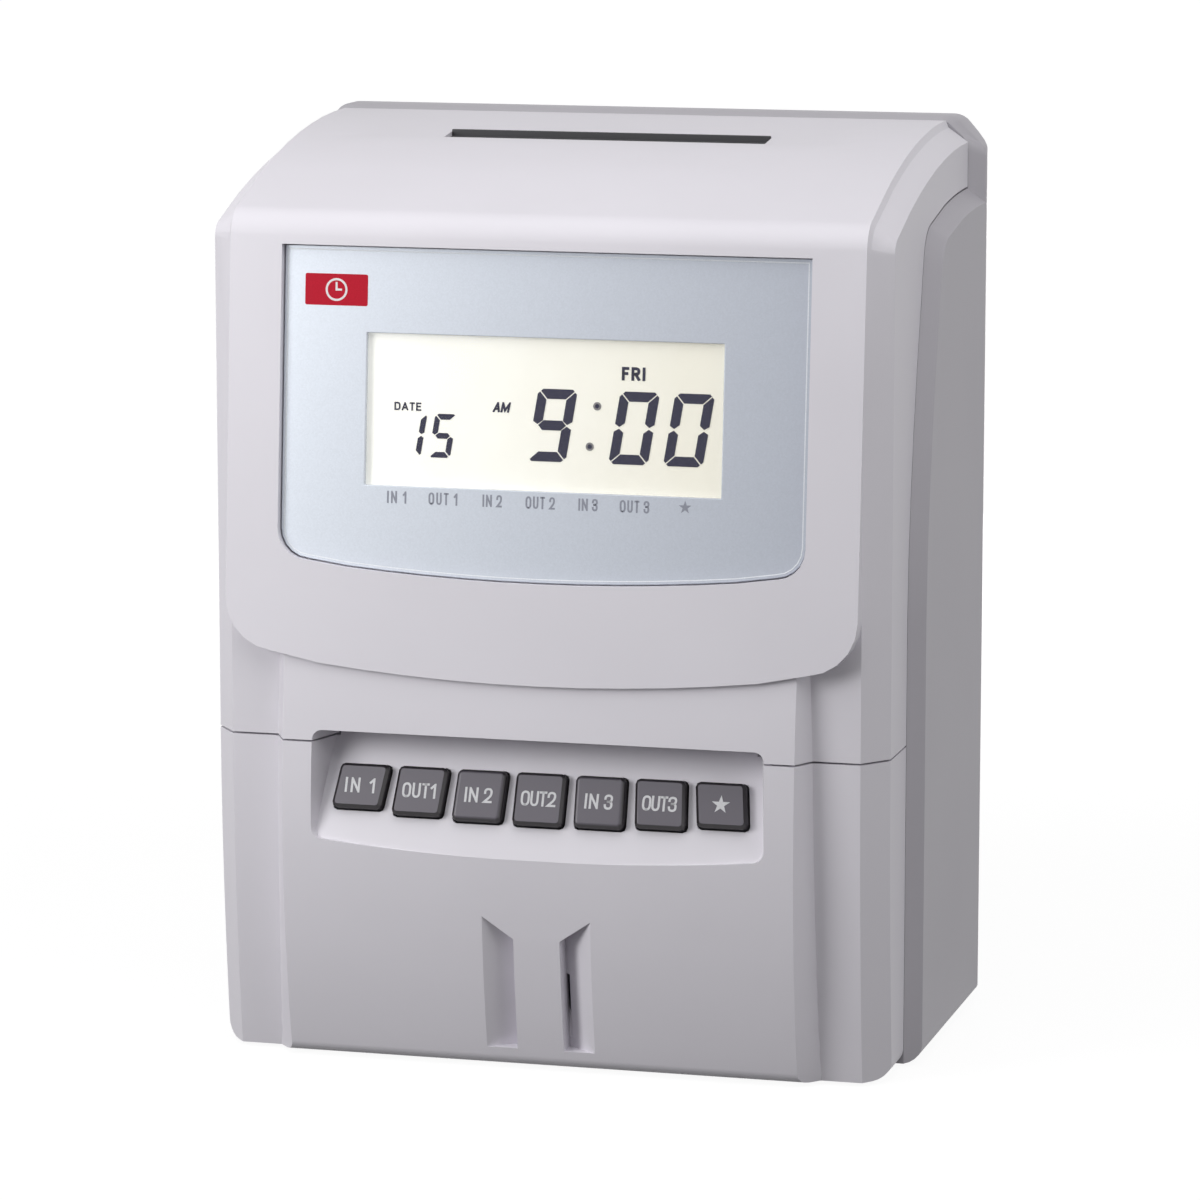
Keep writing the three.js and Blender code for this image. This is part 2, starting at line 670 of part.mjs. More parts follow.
// A finger grip's wedge on the right, from the face down to its full depth beside the middle bar
function gripWedge(grow) {
  const [outer, inner] = [GRIP_OUTER + grow + OVERRUN, GRIP_INNER - grow];
  const [from, to] = [GRIP_BOTTOM - grow, GRIP_TOP + grow];
  const run = OVERRUN / (GRIP_OUTER - GRIP_INNER);
  const rings = [];
  for (let k = 0; k <= SMILE_STEPS; k++) {
    const z = from + ((to - from) * k) / SMILE_STEPS;
    const y = bulgeFrontAt(Math.max(z, 0));
    const plan = [
      [outer, y - GRIP_DEPTH * run + grow], [inner, y + GRIP_DEPTH + grow],
      [inner, y - GRIP_DEPTH], [outer, y - GRIP_DEPTH]];
    rings.push(plan.map(([x, depth]) => new THREE.Vector3(x, depth, z)));
  }
  const front = [[inner, from], [outer, from], [outer, to + GRIP_SLANT * run], [inner, to - GRIP_SLANT]];
  return common(loft(rings), prismY(front, BULGE_Y - 2 * GRIP_DEPTH, 0));
}

function gripSlit() {
  const y = bulgeFrontAt((SLIT_BOTTOM + SLIT_TOP) / 2) + GRIP_DEPTH;
  return block(
    GRIP_INNER, GRIP_INNER + SLIT_WIDTH, y - GRIP_DEPTH, y + SLIT_DEPTH, SLIT_BOTTOM, SLIT_TOP);
}

const bothSides = (solid) => join(solid, moved(solid, mirrorX));

// The hood's lower end: it stands proud of the face, down to its smiling lip
function hoodWedge() {
  const lip = smileField(FACE_WIDTH / 2, LIP_HEIGHT, LIP_RISE, BEND_HEIGHT, LIP_RADIUS);
  const wedge = prismX([
    [FACE_Y + WALL, LIP_HEIGHT], [FACE_Y + WALL, hoodCrossing],
    [FACE_Y, hoodCrossing], [hoodFaceAt(LIP_HEIGHT), LIP_HEIGHT]], -FACE_WIDTH / 2, FACE_WIDTH / 2);
  return common(wedge, prismY(lip, BULGE_Y - OVERRUN, 0));
}

// The notch around the card slot: it starts before the slot, and its flat floor runs out behind.
// Its ends slope, and meet the arch halfway between the inner and the outer rings
const slotFront = SLOT_Y - SLOT_GAP / 2;
const slotBack = SLOT_Y + SLOT_GAP / 2;
const mouthBack = slotBack + MOUTH_REACH;
const notchFront = slotFront - NOTCH_LEAD;
const notchBack = slotFront + NOTCH_LENGTH;
const notchInner = NOTCH_WIDTH / 2 - NOTCH_DRAFT;

function slotNotch() {
  const lowest = archAt(mouthBack) - NOTCH_DEPTH;
  const floor = [
    [notchFront, archAt(notchFront)], [slotFront, archAt(slotFront) - NOTCH_FRONT_DEPTH]];
  for (let k = 0; k <= NOTCH_STEPS; k++) {
    const y = mouthBack + ((notchBack - mouthBack) * k) / NOTCH_STEPS;
    floor.push([y, lowest + ((archAt(notchBack) - lowest) * k) / NOTCH_STEPS]);
  }
  const outer = floor.map(([y, z]) => [y, 2 * archAt(y) - z]);
  const above = [[notchBack, HEIGHT], [notchFront, HEIGHT]];
  return loft(ringsX([
    [notchInner, [...floor, ...above]], [notchInner + 2 * NOTCH_DRAFT, [...outer, ...above]]]));
}

// Shells
function topCover() {
  const bottom = SEAM_HEIGHT;
  const body = coverBody(0, bottom, COLLAR_Y);
  const bulge = bulgeSolid(0, bottom, LIP_HEIGHT + LIP_RISE, bulgeBack);
  const outer = join(body, hoodWedge(), bulge);
  const hollow = coverBody(WALL, bottom - OVERRUN, COLLAR_Y + OVERRUN);
  const bulgeHollow = bulgeSolid(WALL, bottom - OVERRUN, LIP_HEIGHT, bulgeBack + OVERRUN);
  const panelKeep = onHood(prismY(panelOutline(WALL), 0, panelFloor));
  const inside = cut(join(hollow, bulgeHollow), panelKeep);
  const shelfBack = BULGE_Y + (DECK_TOP + WALL - DECK_BOTTOM) * Math.tan(deckAngle) + WALL;
  const shelf = block(
    -DECK_WIDTH / 2 - WALL, DECK_WIDTH / 2 + WALL,
    bulgeFrontAt(DECK_TOP) + WALL / 2, shelfBack, DECK_TOP, DECK_TOP + WALL);
  const cheek = block(
    DECK_WIDTH / 2 - DECK_DRAFT + SEAM_GAP, DECK_WIDTH / 2 + WALL,
    bulgeFrontAt(DECK_TOP) + WALL / 2, shelfBack, bottom, DECK_TOP + WALL / 2);
  const cheeks = common(bothSides(cheek), deckPlug(WALL, DECK_TOP + WALL / 2));
  const recess = onHood(prismY(panelOutline(PANEL_CLEARANCE), -OVERRUN - HOOD_STAND, panelSeat));
  const opening = LCD_MARGIN + PANEL_CLEARANCE;
  const window = onHood(windowBlock(opening, 0, panelFloor + OVERRUN));
  const posts = join(...postPlaces.map(([x, z]) =>
    bar("y", POST_RADIUS, panelFloor - WALL / 2, boardFront - SEAT, x, z)));
  const slot = block(
    -SLOT_WIDTH / 2, SLOT_WIDTH / 2, slotFront, slotBack, COVER_TOP / 2, HEIGHT + OVERRUN);
  const mouthFloor = archAt(slotBack) - MOUTH_DEPTH;
  const mouth = block(
    -SLOT_WIDTH / 2, SLOT_WIDTH / 2, slotFront, mouthBack, mouthFloor, HEIGHT + OVERRUN);
  const mouthKeep = common(join(outer, shelf), block(
    -notchInner, notchInner, slotBack, mouthBack + WALL, mouthFloor - WALL, archAt(slotBack)));
  const shell = join(
    cut(outer, inside), common(outer, join(shelf, cheeks)), onHood(posts), mouthKeep);
  const open = cut(
    shell, slotNotch(), slot, mouth, recess, window, deckPlug(0, DECK_TOP),
    belowSeam(SEAM_GAP / 2));
  return common(open, frontRegion());
}

// The straight part of the lower cover, whose face tucks in towards the foot
function lowerColumn(inset, low, high) {
  const line = (setback) => {
    const front = [];
    for (let k = 0; k <= LEAN_STEPS; k++) {
      const z = low + ((high - low) * k) / LEAN_STEPS;
      front.push([FACE_Y + setback + tuckAt(Math.max(z, 0)) + inset, z]);
    }
    return [...front, [0, high], [0, low]];
  };
  return loft(ringsX([
    [FACE_WIDTH / 2 - inset / 2, line(0)], [COVER_WIDTH / 2 - inset, line(EDGE_SETBACK)]]));
}

function lowerCover() {
  const top = SEAM_HEIGHT;
  const half = COVER_WIDTH / 2;
  const frame = prismY(rounded([
    [-half, 0, BASE_CORNER_RADIUS], [half, 0, BASE_CORNER_RADIUS],
    [half, HEIGHT], [-half, HEIGHT]]), -DEPTH, DEPTH);
  const toeTop = 2 * BULGE_BASE_RADIUS;
  const roundedToe = prismX(rounded([
    [bulgeFrontAt(toeTop), toeTop], [bulgeFrontAt(0), 0, BULGE_BASE_RADIUS],
    [DEPTH, 0], [DEPTH, toeTop]]), -WIDTH, WIDTH);
  const toeRegion = join(roundedToe, block(-WIDTH, WIDTH, -DEPTH, DEPTH, toeTop, HEIGHT));
  const outer = common(
    join(lowerColumn(0, 0, top), bulgeSolid(0, 0, top, bulgeBack)), toeRegion, frame,
    belowSeam(-SEAM_GAP / 2));
  const overFloor = block(-WIDTH, WIDTH, -DEPTH, DEPTH, WALL, HEIGHT);
  const hollow = common(overFloor, join(
    lowerColumn(WALL, 0, top + OVERRUN),
    bulgeSolid(WALL, 0, top + OVERRUN, bulgeBack + OVERRUN)));
  const shell = cut(outer, cut(hollow, deckPlug(WALL, top + OVERRUN), bothSides(gripWedge(WALL))));
  const holes = keyPlaces.map((place) => onDeck(
    prismY(keyOutline(place, KEY_CLEARANCE), -KEY_STAND, WALL + OVERRUN)));
  const open = cut(
    join(shell, deckTongue()), deckPlug(0, DECK_TOP + OVERRUN), bothSides(gripWedge(0)),
    bothSides(gripSlit()), ...holes);
  const posts = join(...keyPostPlaces.map(([x, s]) =>
    bar("y", POST_RADIUS, WALL / 2, keyBoardFront - SEAT, x, s)));
  return common(join(open, onDeck(posts)), frontRegion());
}

// The key field's back wall reaches up under the top cover's shelf
function deckTongue() {
  const middle = DECK_WIDTH / 2 - DECK_DRAFT;
  const reach = block(-middle, middle, BULGE_Y + WALL, 0, SEAM_HEIGHT - WALL, DECK_TOP - SEAT);
  return common(reach, deckPlug(WALL, DECK_TOP));
}

// Keys, drawn on the deck: x across and s up the deck
const keyPlaces = [];
for (let k = 0; k < KEY_COUNT; k++) {
  const share = k - (KEY_COUNT - 1) / 2;
  keyPlaces.push({ x: share * KEY_PITCH, share: share / ((KEY_COUNT - 1) / 2) });
}

function keyOutline({ x, share }, grow = 0) {
  const top = KEY_TOP + grow;
  const bottom = KEY_TOP - KEY_LENGTH + KEY_SMILE * share ** 2 - grow;
  const half = KEY_WIDTH / 2 + grow;
  const fan = (KEY_FAN * share) / 2;
  return rounded([
    [x - half + fan, bottom, KEY_RADIUS], [x + half + fan, bottom, KEY_RADIUS],
    [x + half - fan, top, KEY_RADIUS], [x - half - fan, top, KEY_RADIUS]], SMALL_STEPS);
}

// Depths under the deck: the key's flange and stem, then the switch and its board
const flangeFront = WALL + SEAT;
const stemEnd = flangeFront + KEY_FLANGE_THICKNESS + STEM_LENGTH;
const keyBoardFront = stemEnd + KEY_TRAVEL + SEAT + SWITCH_HEIGHT;
const keyRow = KEY_TOP - KEY_LENGTH / 2;
const keyBoardHalf = DECK_WIDTH / 2 - DECK_DRAFT - WALL;
const keyPostReach = (KEY_LENGTH + KEY_SPACE) / 2 + POST_RADIUS;
const keyBoardReach = keyPostReach + POST_RADIUS;
const keyPostPlaces = [-1, 0, 1].map((side) => [
  side * (keyBoardHalf - POST_MARGIN), keyRow + keyPostReach]);

function keyCap(place) {
  const outline = keyOutline(place);
  const flangeBack = flangeFront + KEY_FLANGE_THICKNESS;
  const crown = common(
    prismY(outline, -KEY_STAND, 2 * flangeBack, KEY_BEVEL), prismY(outline, -KEY_STAND, flangeBack));
  const flange = prismY(keyOutline(place, KEY_SPACE / 2 - SEAT), flangeFront, flangeBack);
  const stem = bar("y", STEM_RADIUS, flangeFront, stemEnd, place.x, keyRow);
  return onDeck(join(crown, flange, stem));
}

function keyBoard() {
  const board = block(
    -keyBoardHalf, keyBoardHalf, keyBoardFront, keyBoardFront + BOARD_THICKNESS,
    keyRow - keyBoardReach, keyRow + keyBoardReach);
  const switches = keyPlaces.map(({ x }) => {
    const base = keyBoardFront + BOARD_THICKNESS / 2;
    const half = SWITCH_SIZE / 2;
    const body = block(
      x - half, x + half, keyBoardFront - SWITCH_HEIGHT / 2, base, keyRow - half, keyRow + half);
    return join(body, bar("y", PLUNGER_RADIUS, keyBoardFront - SWITCH_HEIGHT, base, x, keyRow));
  });
  return onDeck(join(board, ...switches));
}


// Places on the rear case: feet, screws and the posts of the power board
const footTop = FOOT_THICKNESS - FOOT_STAND;
const footX = WIDTH / 2 - FOOT_SIDE_MARGIN;
const footFront = FACE_Y + RIM_SETBACK + FOOT_MARGIN;
const footBack = BACK_Y - BACK_BASE_CHAMFER - FOOT_MARGIN;
const footPlaces = [[-footX, footFront], [-footX, footBack], [footX, footFront], [footX, footBack]];

const screwX = FRAME_X + FLANGE_WIDTH / 2 + SHEET;
const screwHeights = [FRAME_BOTTOM + CASE_SCREW_OVER_FRAME, FRAME_TOP - CASE_SCREW_BELOW_FRAME];
const caseScrewPlaces = [-screwX, screwX].flatMap((x) => screwHeights.map((z) => [x, z]));

const powerBoardX = POWER_BOARD_MARGIN + POWER_BOARD_WIDTH / 2 - INNER_HALF;
const powerBoardZ = WALL + BOARD_LIFT;
const powerBoardBack = BACK_Y - BACK_BASE_CHAMFER - SEAT;
const powerBoardFront = powerBoardBack - POWER_BOARD_DEPTH;
const powerPostReach = POWER_BOARD_WIDTH / 2 - POST_MARGIN;
const powerPostPlaces = [-powerPostReach, powerPostReach].flatMap((reach) => [
  [powerBoardX + reach, powerBoardBack - POST_MARGIN],
  [powerBoardX + reach, powerBoardFront + POST_MARGIN]]);

const inletX = INLET_MARGIN - WIDTH / 2;
const hangerX = WIDTH / 2 - HANGER_MARGIN;
const hangerZ = BODY_HEIGHT - HANGER_DROP;

// Rear case: a tray with a bevelled rim, a collar above the covers, and bosses on its back wall
function rimSolid(inset, back) {
  return loft(ringsX([
    [COVER_WIDTH / 2 - inset, rimOutline(inset, back, inset)],
    [WIDTH / 2 - inset, rimOutline(inset + RIM_BEVEL, back, inset)]]));
}

function collarOutline(half, top, chamferWidth, chamferHeight) {
  const right = rounded([
    [0, 0], [half, 0], [half, top - chamferHeight, COLLAR_RADIUS],
    [half - chamferWidth, top, COLLAR_RADIUS], [0, top]]).slice(1, -1);
  return [...right, ...right.map(([x, z]) => [-x, z]).reverse()];
}

function collarSolid(inset, back) {
  const seam = collarOutline(COVER_WIDTH / 2 - inset, COVER_TOP - inset, EDGE_CHAMFER, EDGE_DROP);
  const full = collarOutline(WIDTH / 2 - inset, BODY_HEIGHT - inset, COLLAR_CHAMFER, COLLAR_CHAMFER);
  return loft([ringY(COLLAR_Y, seam), ringY(COLLAR_Y + RIM_BEVEL, full), ringY(back, full)]);
}

function rearCase() {
  const half = WIDTH / 2;
  const base = BACK_Y - BACK_BASE_CHAMFER;
  const plan = rounded([
    [-half, -DEPTH], [half, -DEPTH], [half, BACK_Y, BACK_RADIUS], [-half, BACK_Y, BACK_RADIUS]]);
  const side = rounded([
    [-DEPTH, -OVERRUN], [base, -OVERRUN], [base, 0], [BACK_Y, BACK_BASE_CHAMFER],
    [BACK_Y, BODY_HEIGHT, BACK_TOP_RADIUS], [-DEPTH, BODY_HEIGHT]]);
  const front = rounded([
    [-half, 0, BASE_CORNER_RADIUS], [half, 0, BASE_CORNER_RADIUS], [half, HEIGHT], [-half, HEIGHT]]);
  const outer = common(
    join(rimSolid(0, BACK_Y), collarSolid(0, BACK_Y)), prismZ(plan, -OVERRUN, HEIGHT + OVERRUN),
    prismX(side, -WIDTH, WIDTH), prismY(front, -DEPTH, DEPTH));
  const bosses = join(...caseScrewPlaces.map(([x, z]) => bar(
    "y", CASE_SCREW_HEAD + WALL / 2, INNER_BACK_Y - BOSS_LENGTH, BACK_Y - WALL / 2, x, z)));
  const posts = join(...powerPostPlaces.map(([x, y]) =>
    bar("z", POST_RADIUS, WALL / 2, powerBoardZ - SEAT, x, y)));
  const shell = join(cut(outer, rearHollow()), common(outer, bosses), posts);
  return cut(shell, ...rearCuts());
}

// The tray's hollow, held inside the walls, and the open space behind the covers
function rearHollow() {
  const half = WIDTH / 2 - WALL;
  const open = COVER_WIDTH / 2 - WALL - SEAT;
  const radius = BACK_RADIUS - WALL;
  const chamfer = BACK_BASE_CHAMFER + WALL * (1 - Math.SQRT1_2);
  const hollow = join(
    rimSolid(WALL, INNER_BACK_Y),
    block(-open, open, -DEPTH, COLLAR_Y, WALL, HEIGHT),
    collarSolid(WALL, INNER_BACK_Y),
    block(-open, open, COLLAR_Y - OVERRUN, COLLAR_Y + RIM_BEVEL, WALL, COVER_TOP - EDGE_DROP - WALL));
  const plan = rounded([
    [-half, -DEPTH], [half, -DEPTH], [half, INNER_BACK_Y, radius], [-half, INNER_BACK_Y, radius]]);
  const side = [
    [-DEPTH, WALL], [BACK_Y - chamfer, WALL], [INNER_BACK_Y, chamfer],
    [INNER_BACK_Y, BODY_HEIGHT - WALL], [-DEPTH, BODY_HEIGHT - WALL]];
  return common(hollow, prismZ(plan, 0, HEIGHT), prismX(side, -WIDTH, WIDTH));
}

// Screw holes, pockets for the feet and the hanger plates, and the opening for the power inlet
function rearCuts() {
  const outside = BACK_Y + OVERRUN;
  const pocket = (x, z, width, height, from) => block(
    x - width / 2, x + width / 2, from, outside, z - height / 2, z + height / 2);
  const cuts = [pocket(inletX, INLET_Z, INLET_WIDTH + 2 * SEAT, INLET_HEIGHT + 2 * SEAT, COLLAR_Y)];
  for (const [x, z] of caseScrewPlaces) {
    cuts.push(bar("y", CASE_SCREW_SHANK + SEAT, COLLAR_Y, outside, x, z));
    cuts.push(bar("y", CASE_SCREW_HEAD + SEAT, BACK_Y - HEAD_THICKNESS - SEAT, outside, x, z));
  }
  for (const [x, y] of footPlaces)
    cuts.push(bar("z", FOOT_RADIUS + SEAT, -OVERRUN, footTop + SEAT, x, y));
  for (const x of [-hangerX, hangerX]) {
    const seat = BACK_Y - HANGER_THICKNESS - SEAT;
    cuts.push(pocket(x, hangerZ, HANGER_WIDTH + 2 * SEAT, HANGER_HEIGHT + 2 * SEAT, seat));
    cuts.push(pocket(x, hangerZ, HANGER_WIDTH - 2 * WALL, HANGER_HEIGHT - 2 * WALL, COLLAR_Y));
  }
  return cuts;
}

// Display stack
const displayPanel = () => onHood(cut(
  prismY(panelOutline(0), panelFront, panelBack), windowBlock(PANEL_CLEARANCE, 0, panelFloor)));
const displayWindow = () => onHood(windowBlock(0, panelFront, panelBack));

const lcdBlock = (from, to) => windowBlock(LCD_MARGIN, from, to);

// Main board: chips above the battery, the buzzer at its upper end, both between the frames
const [boardLow, boardHigh] = [upHood(BOARD_BOTTOM), upHood(BOARD_TOP)];
const batteryTop = boardLow + 2 * BATTERY_RADIUS;
const chipRow = (batteryTop + boardHigh) / 2;
const partsBack = boardBack + SEAT;

function mainBoard() {
  const half = BOARD_WIDTH / 2;
  const board = block(-half, half, boardFront, boardBack, boardLow, boardHigh);
  const chips = [-1, 0, 1].map((place) => {
    const x = place * CHIP_PITCH;
    return block(
      x - CHIP_SIZE / 2, x + CHIP_SIZE / 2, boardBack - BOARD_THICKNESS / 2, boardBack + CHIP_HEIGHT,
      chipRow - CHIP_SIZE / 2, chipRow + CHIP_SIZE / 2);
  });
  return onHood(join(board, ...chips));
}

const buzzerX = WALL + BUZZER_RADIUS - FRAME_X;
const buzzerRow = boardHigh - 2 * POST_MARGIN - BUZZER_RADIUS;
const buzzer = () => onHood(bar(
  "y", BUZZER_RADIUS, partsBack, partsBack + BUZZER_HEIGHT, buzzerX, buzzerRow));
const batteryEnd = WALL - FRAME_X;
const battery = () => onHood(bar(
  "x", BATTERY_RADIUS, batteryEnd, batteryEnd + BATTERY_LENGTH,
  partsBack + BATTERY_RADIUS, boardLow + BATTERY_RADIUS));

// Chute: two plates with the card's gap between them, carried by the frames
const chuteFrontFace = SLOT_Y - CHUTE_GAP / 2;
const chuteRearFace = SLOT_Y + CHUTE_GAP / 2;
const chuteTop = archAt(SLOT_Y) - MOUTH_DEPTH - WALL - CHUTE_TOP_GAP;
const printLow = PRINT_HEIGHT - PRINT_WINDOW_HEIGHT / 2;
const printHigh = PRINT_HEIGHT + PRINT_WINDOW_HEIGHT / 2;
const stopTravel = printLow - STOP_BELOW_WINDOW - STOP_HEIGHT - STOP_REST;
const bracketZ = FRAME_BOTTOM + SEAT;
const gearZ = bracketZ + SHEET + SEAT;
const chuteBottom = gearZ + GEAR_WIDTH + SHEET;

function chutePlate(from, to) {
  const plate = block(-CHUTE_WIDTH / 2, CHUTE_WIDTH / 2, from, to, chuteBottom, chuteTop);
  const half = PRINT_WINDOW_WIDTH / 2;
  return cut(plate, block(-half, half, from - OVERRUN, to + OVERRUN, printLow, printHigh));
}

const chuteFront = () => chutePlate(chuteFrontFace - SHEET, chuteFrontFace);

function chuteRear() {
  const half = STOP_ARM_SLOT / 2;
  const spare = (STOP_ARM_SLOT - STOP_ARM) / 2;
  const slot = block(
    -half, half, chuteRearFace - OVERRUN, chuteRearFace + SHEET + OVERRUN,
    STOP_REST - spare, STOP_REST + STOP_HEIGHT + stopTravel + spare);
  return cut(chutePlate(chuteRearFace, chuteRearFace + SHEET), slot);
}

// Platen: a bar behind the print window, its nose through the rear plate, between the frames
function platen() {
  const [low, high] = [printLow + SEAT, printHigh - SEAT];
  const half = PRINT_WINDOW_WIDTH / 2 - SEAT;
  const back = chuteRearFace + SHEET + SEAT;
  const nose = block(-half, half, chuteRearFace + SEAT, back + SEAT, low, high);
  const bed = block(-CHUTE_WIDTH / 2, CHUTE_WIDTH / 2, back, back + PLATEN_DEPTH, low, high);
  return join(nose, bed);
}

// Frames: one plate each side of the chute, with a flange screwed to the rear case
const railY = SLOT_Y - RAIL_SETBACK;
const railHeights = [-1, 1].map((side) => PRINT_HEIGHT + SHEET + (side * RAIL_SPACING) / 2);
const driveZ = PRINT_HEIGHT - DRIVE_DROP;
const gearDistance = (GEAR_MODULE * (GEAR_TEETH + PINION_TEETH)) / 2;
const motorZ = driveZ - gearDistance;
const flangeBack = INNER_BACK_Y - BOSS_LENGTH - SEAT;
const bracketFront = chuteRearFace + SHEET + SEAT;
const bracketBack = flangeBack - SHEET - SEAT;
const liftScrewY = (bracketFront + bracketBack) / 2;

function framePlate() {
  const front = hoodFaceAt(FRAME_TOP) + boardBack + FRAME_CLEARANCE;
  const lowerFront = SLOT_Y - FRAME_LOWER_FRONT;
  const outline = rounded([
    [lowerFront, FRAME_BOTTOM], [flangeBack, FRAME_BOTTOM], [flangeBack, FRAME_TOP],
    [front, FRAME_TOP, WALL], [front, FRAME_STEP, WALL], [lowerFront, FRAME_STEP, WALL]], CORNER_STEPS);
  const plate = prismX(outline, FRAME_X, FRAME_X + SHEET);
  const flange = block(
    FRAME_X, FRAME_X + SHEET + FLANGE_WIDTH, flangeBack - SHEET, flangeBack,
    FRAME_BOTTOM, FRAME_TOP);
  const through = [FRAME_X - OVERRUN, FRAME_X + SHEET + OVERRUN];
  const bores = railHeights.map((z) => bar("x", RAIL_RADIUS + SEAT, ...through, railY, z));
  const drive = bar("x", DRIVE_RADIUS + SCREW_CLEARANCE, ...through, railY, driveZ);
  const shaft = bar("x", SHAFT_RADIUS + SCREW_CLEARANCE, ...through, railY, motorZ);
  const screws = screwHeights.map((z) => bar(
    "y", CASE_SCREW_SHANK + SEAT, flangeBack - SHEET - OVERRUN, flangeBack + OVERRUN, screwX, z));
  return cut(join(plate, flange), ...bores, drive, shaft, ...screws);
}

const rail = (z) => bar(
  "x", RAIL_RADIUS, -FRAME_X - SHEET, FRAME_X + SHEET, railY, z);

// Gears: an outline of teeth with flat tips and tapering flanks
function gear(teeth, turn) {
  const pitch = (GEAR_MODULE * teeth) / 2;
  const tip = pitch + GEAR_MODULE - TOOTH_BACKLASH;
  const root = pitch - GEAR_MODULE - TOOTH_BACKLASH;
  const tooth = [
    [root, -TOOTH_ROOT_SHARE], [tip, -TOOTH_TIP_SHARE],
    [tip, TOOTH_TIP_SHARE], [root, TOOTH_ROOT_SHARE]];
  const points = [];
  for (let k = 0; k < teeth; k++)
    for (const [radius, share] of tooth) {
      const angle = turn + ((k + share) * 2 * Math.PI) / teeth;
      points.push([radius * Math.cos(angle), radius * Math.sin(angle)]);
    }
  return points;
}

const placed = (points, a, b) => points.map(([u, v]) => [u + a, v + b]);

// Print carriage, its head, its screw and its motor
const carriageRest = -CARRIAGE_TRAVEL / 2;
const carriageLow = driveZ - CARRIAGE_MARGIN;
const carriageHigh = railHeights[1] + RAIL_RADIUS + CARRIAGE_MARGIN / 2;
const headFront = railY + CARRIAGE_DEPTH / 2 + SEAT;
const ribbonBack = chuteFrontFace - SHEET - SEAT;
const ribbonFront = ribbonBack - RIBBON_THICKNESS;

function printCarriage() {
  const half = CARRIAGE_WIDTH / 2;
  const y = CARRIAGE_DEPTH / 2;
  const body = block(
    carriageRest - half, carriageRest + half, railY - y, railY + y, carriageLow, carriageHigh);
  const through = [carriageRest - half - OVERRUN, carriageRest + half + OVERRUN];
  const bore = (radius, z) => bar("x", radius + SCREW_CLEARANCE, ...through, railY, z);
  return cut(body, ...railHeights.map((z) => bore(RAIL_RADIUS, z)), bore(DRIVE_RADIUS, driveZ));
}

function printHead() {
  const [w, h] = [HEAD_WIDTH / 2, HEAD_HEIGHT / 2];
  const bodyBack = headFront + HEAD_BODY_LENGTH;
  const body = block(
    carriageRest - w, carriageRest + w, headFront, bodyBack, PRINT_HEIGHT - h, PRINT_HEIGHT + h);
  const nose = block(
    carriageRest - HEAD_NOSE / 2, carriageRest + HEAD_NOSE / 2, bodyBack - OVERRUN,
    ribbonFront - SEAT, PRINT_HEIGHT - HEAD_NOSE / 2, PRINT_HEIGHT + HEAD_NOSE / 2);
  const grooves = [];
  const pitch = HEAD_BODY_LENGTH / HEAD_FINS;
  for (let k = 1; k < HEAD_FINS; k++) {
    const y = headFront + pitch * k;
    grooves.push(block(
      carriageRest - w - OVERRUN, carriageRest + w + OVERRUN, y - pitch / 4, y + pitch / 4,
      PRINT_HEIGHT + h / 2, PRINT_HEIGHT + h + OVERRUN));
  }
  return cut(join(body, nose), ...grooves);
}

const gearX = FRAME_X + SHEET + SEAT;

function carriageScrew() {
  const shaft = bar("x", DRIVE_RADIUS, -FRAME_X - SHEET, gearX + GEAR_WIDTH, railY, driveZ);
  const teeth = placed(gear(GEAR_TEETH, -Math.PI / 2), railY, driveZ);
  return join(shaft, prismX(teeth, gearX, gearX + GEAR_WIDTH));
}

const pinionTurn = Math.PI / 2 + Math.PI / PINION_TEETH;

function carriagePinion() {
  const shaft = bar(
    "x", SHAFT_RADIUS, FRAME_X, gearX + GEAR_WIDTH, railY, motorZ, ROUND_STEPS / 2);
  const teeth = placed(gear(PINION_TEETH, pinionTurn), railY, motorZ);
  return join(shaft, prismX(teeth, gearX, gearX + GEAR_WIDTH));
}

const carriageMotor = () => bar(
  "x", MOTOR_RADIUS, FRAME_X - SEAT - MOTOR_LENGTH, FRAME_X - SEAT, railY, motorZ);

// Ribbon cassette: lies on the frames; its two prongs hold the ribbon in front of the card
const cassetteZ = FRAME_TOP + SEAT;
const cassetteBack = chuteFrontFace - SHEET - SEAT;
const cassetteFront = cassetteBack - CASSETTE_DEPTH;
const cassetteHalf = FRAME_X + SHEET;
const prongX = FRAME_X - SEAT - PRONG_WIDTH;
const knobX = cassetteHalf - KNOB_RADIUS - WALL;
const knobY = cassetteFront + KNOB_RADIUS + WALL;

function ribbonCassette() {
  const body = prismZ(rounded([
    [-cassetteHalf, cassetteFront, WALL], [cassetteHalf, cassetteFront, WALL],
    [cassetteHalf, cassetteBack], [-cassetteHalf, cassetteBack]], CORNER_STEPS),
  cassetteZ, cassetteZ + CASSETTE_HEIGHT);
  const prong = block(
    prongX, prongX + PRONG_WIDTH, cassetteBack - PRONG_DEPTH, cassetteBack,
    PRINT_HEIGHT - RIBBON_HEIGHT / 2, cassetteZ + WALL);
  const bore = bar(
    "z", SHAFT_RADIUS + SCREW_CLEARANCE, cassetteZ + WALL, cassetteZ + CASSETTE_HEIGHT + OVERRUN,
    knobX, knobY, ROUND_STEPS / 2);
  return cut(join(body, bothSides(prong)), bore);
}

const inkRibbon = () => block(
  -prongX + SEAT, prongX - SEAT, ribbonFront, ribbonBack,
  PRINT_HEIGHT - RIBBON_HEIGHT / 2, PRINT_HEIGHT + RIBBON_HEIGHT / 2);

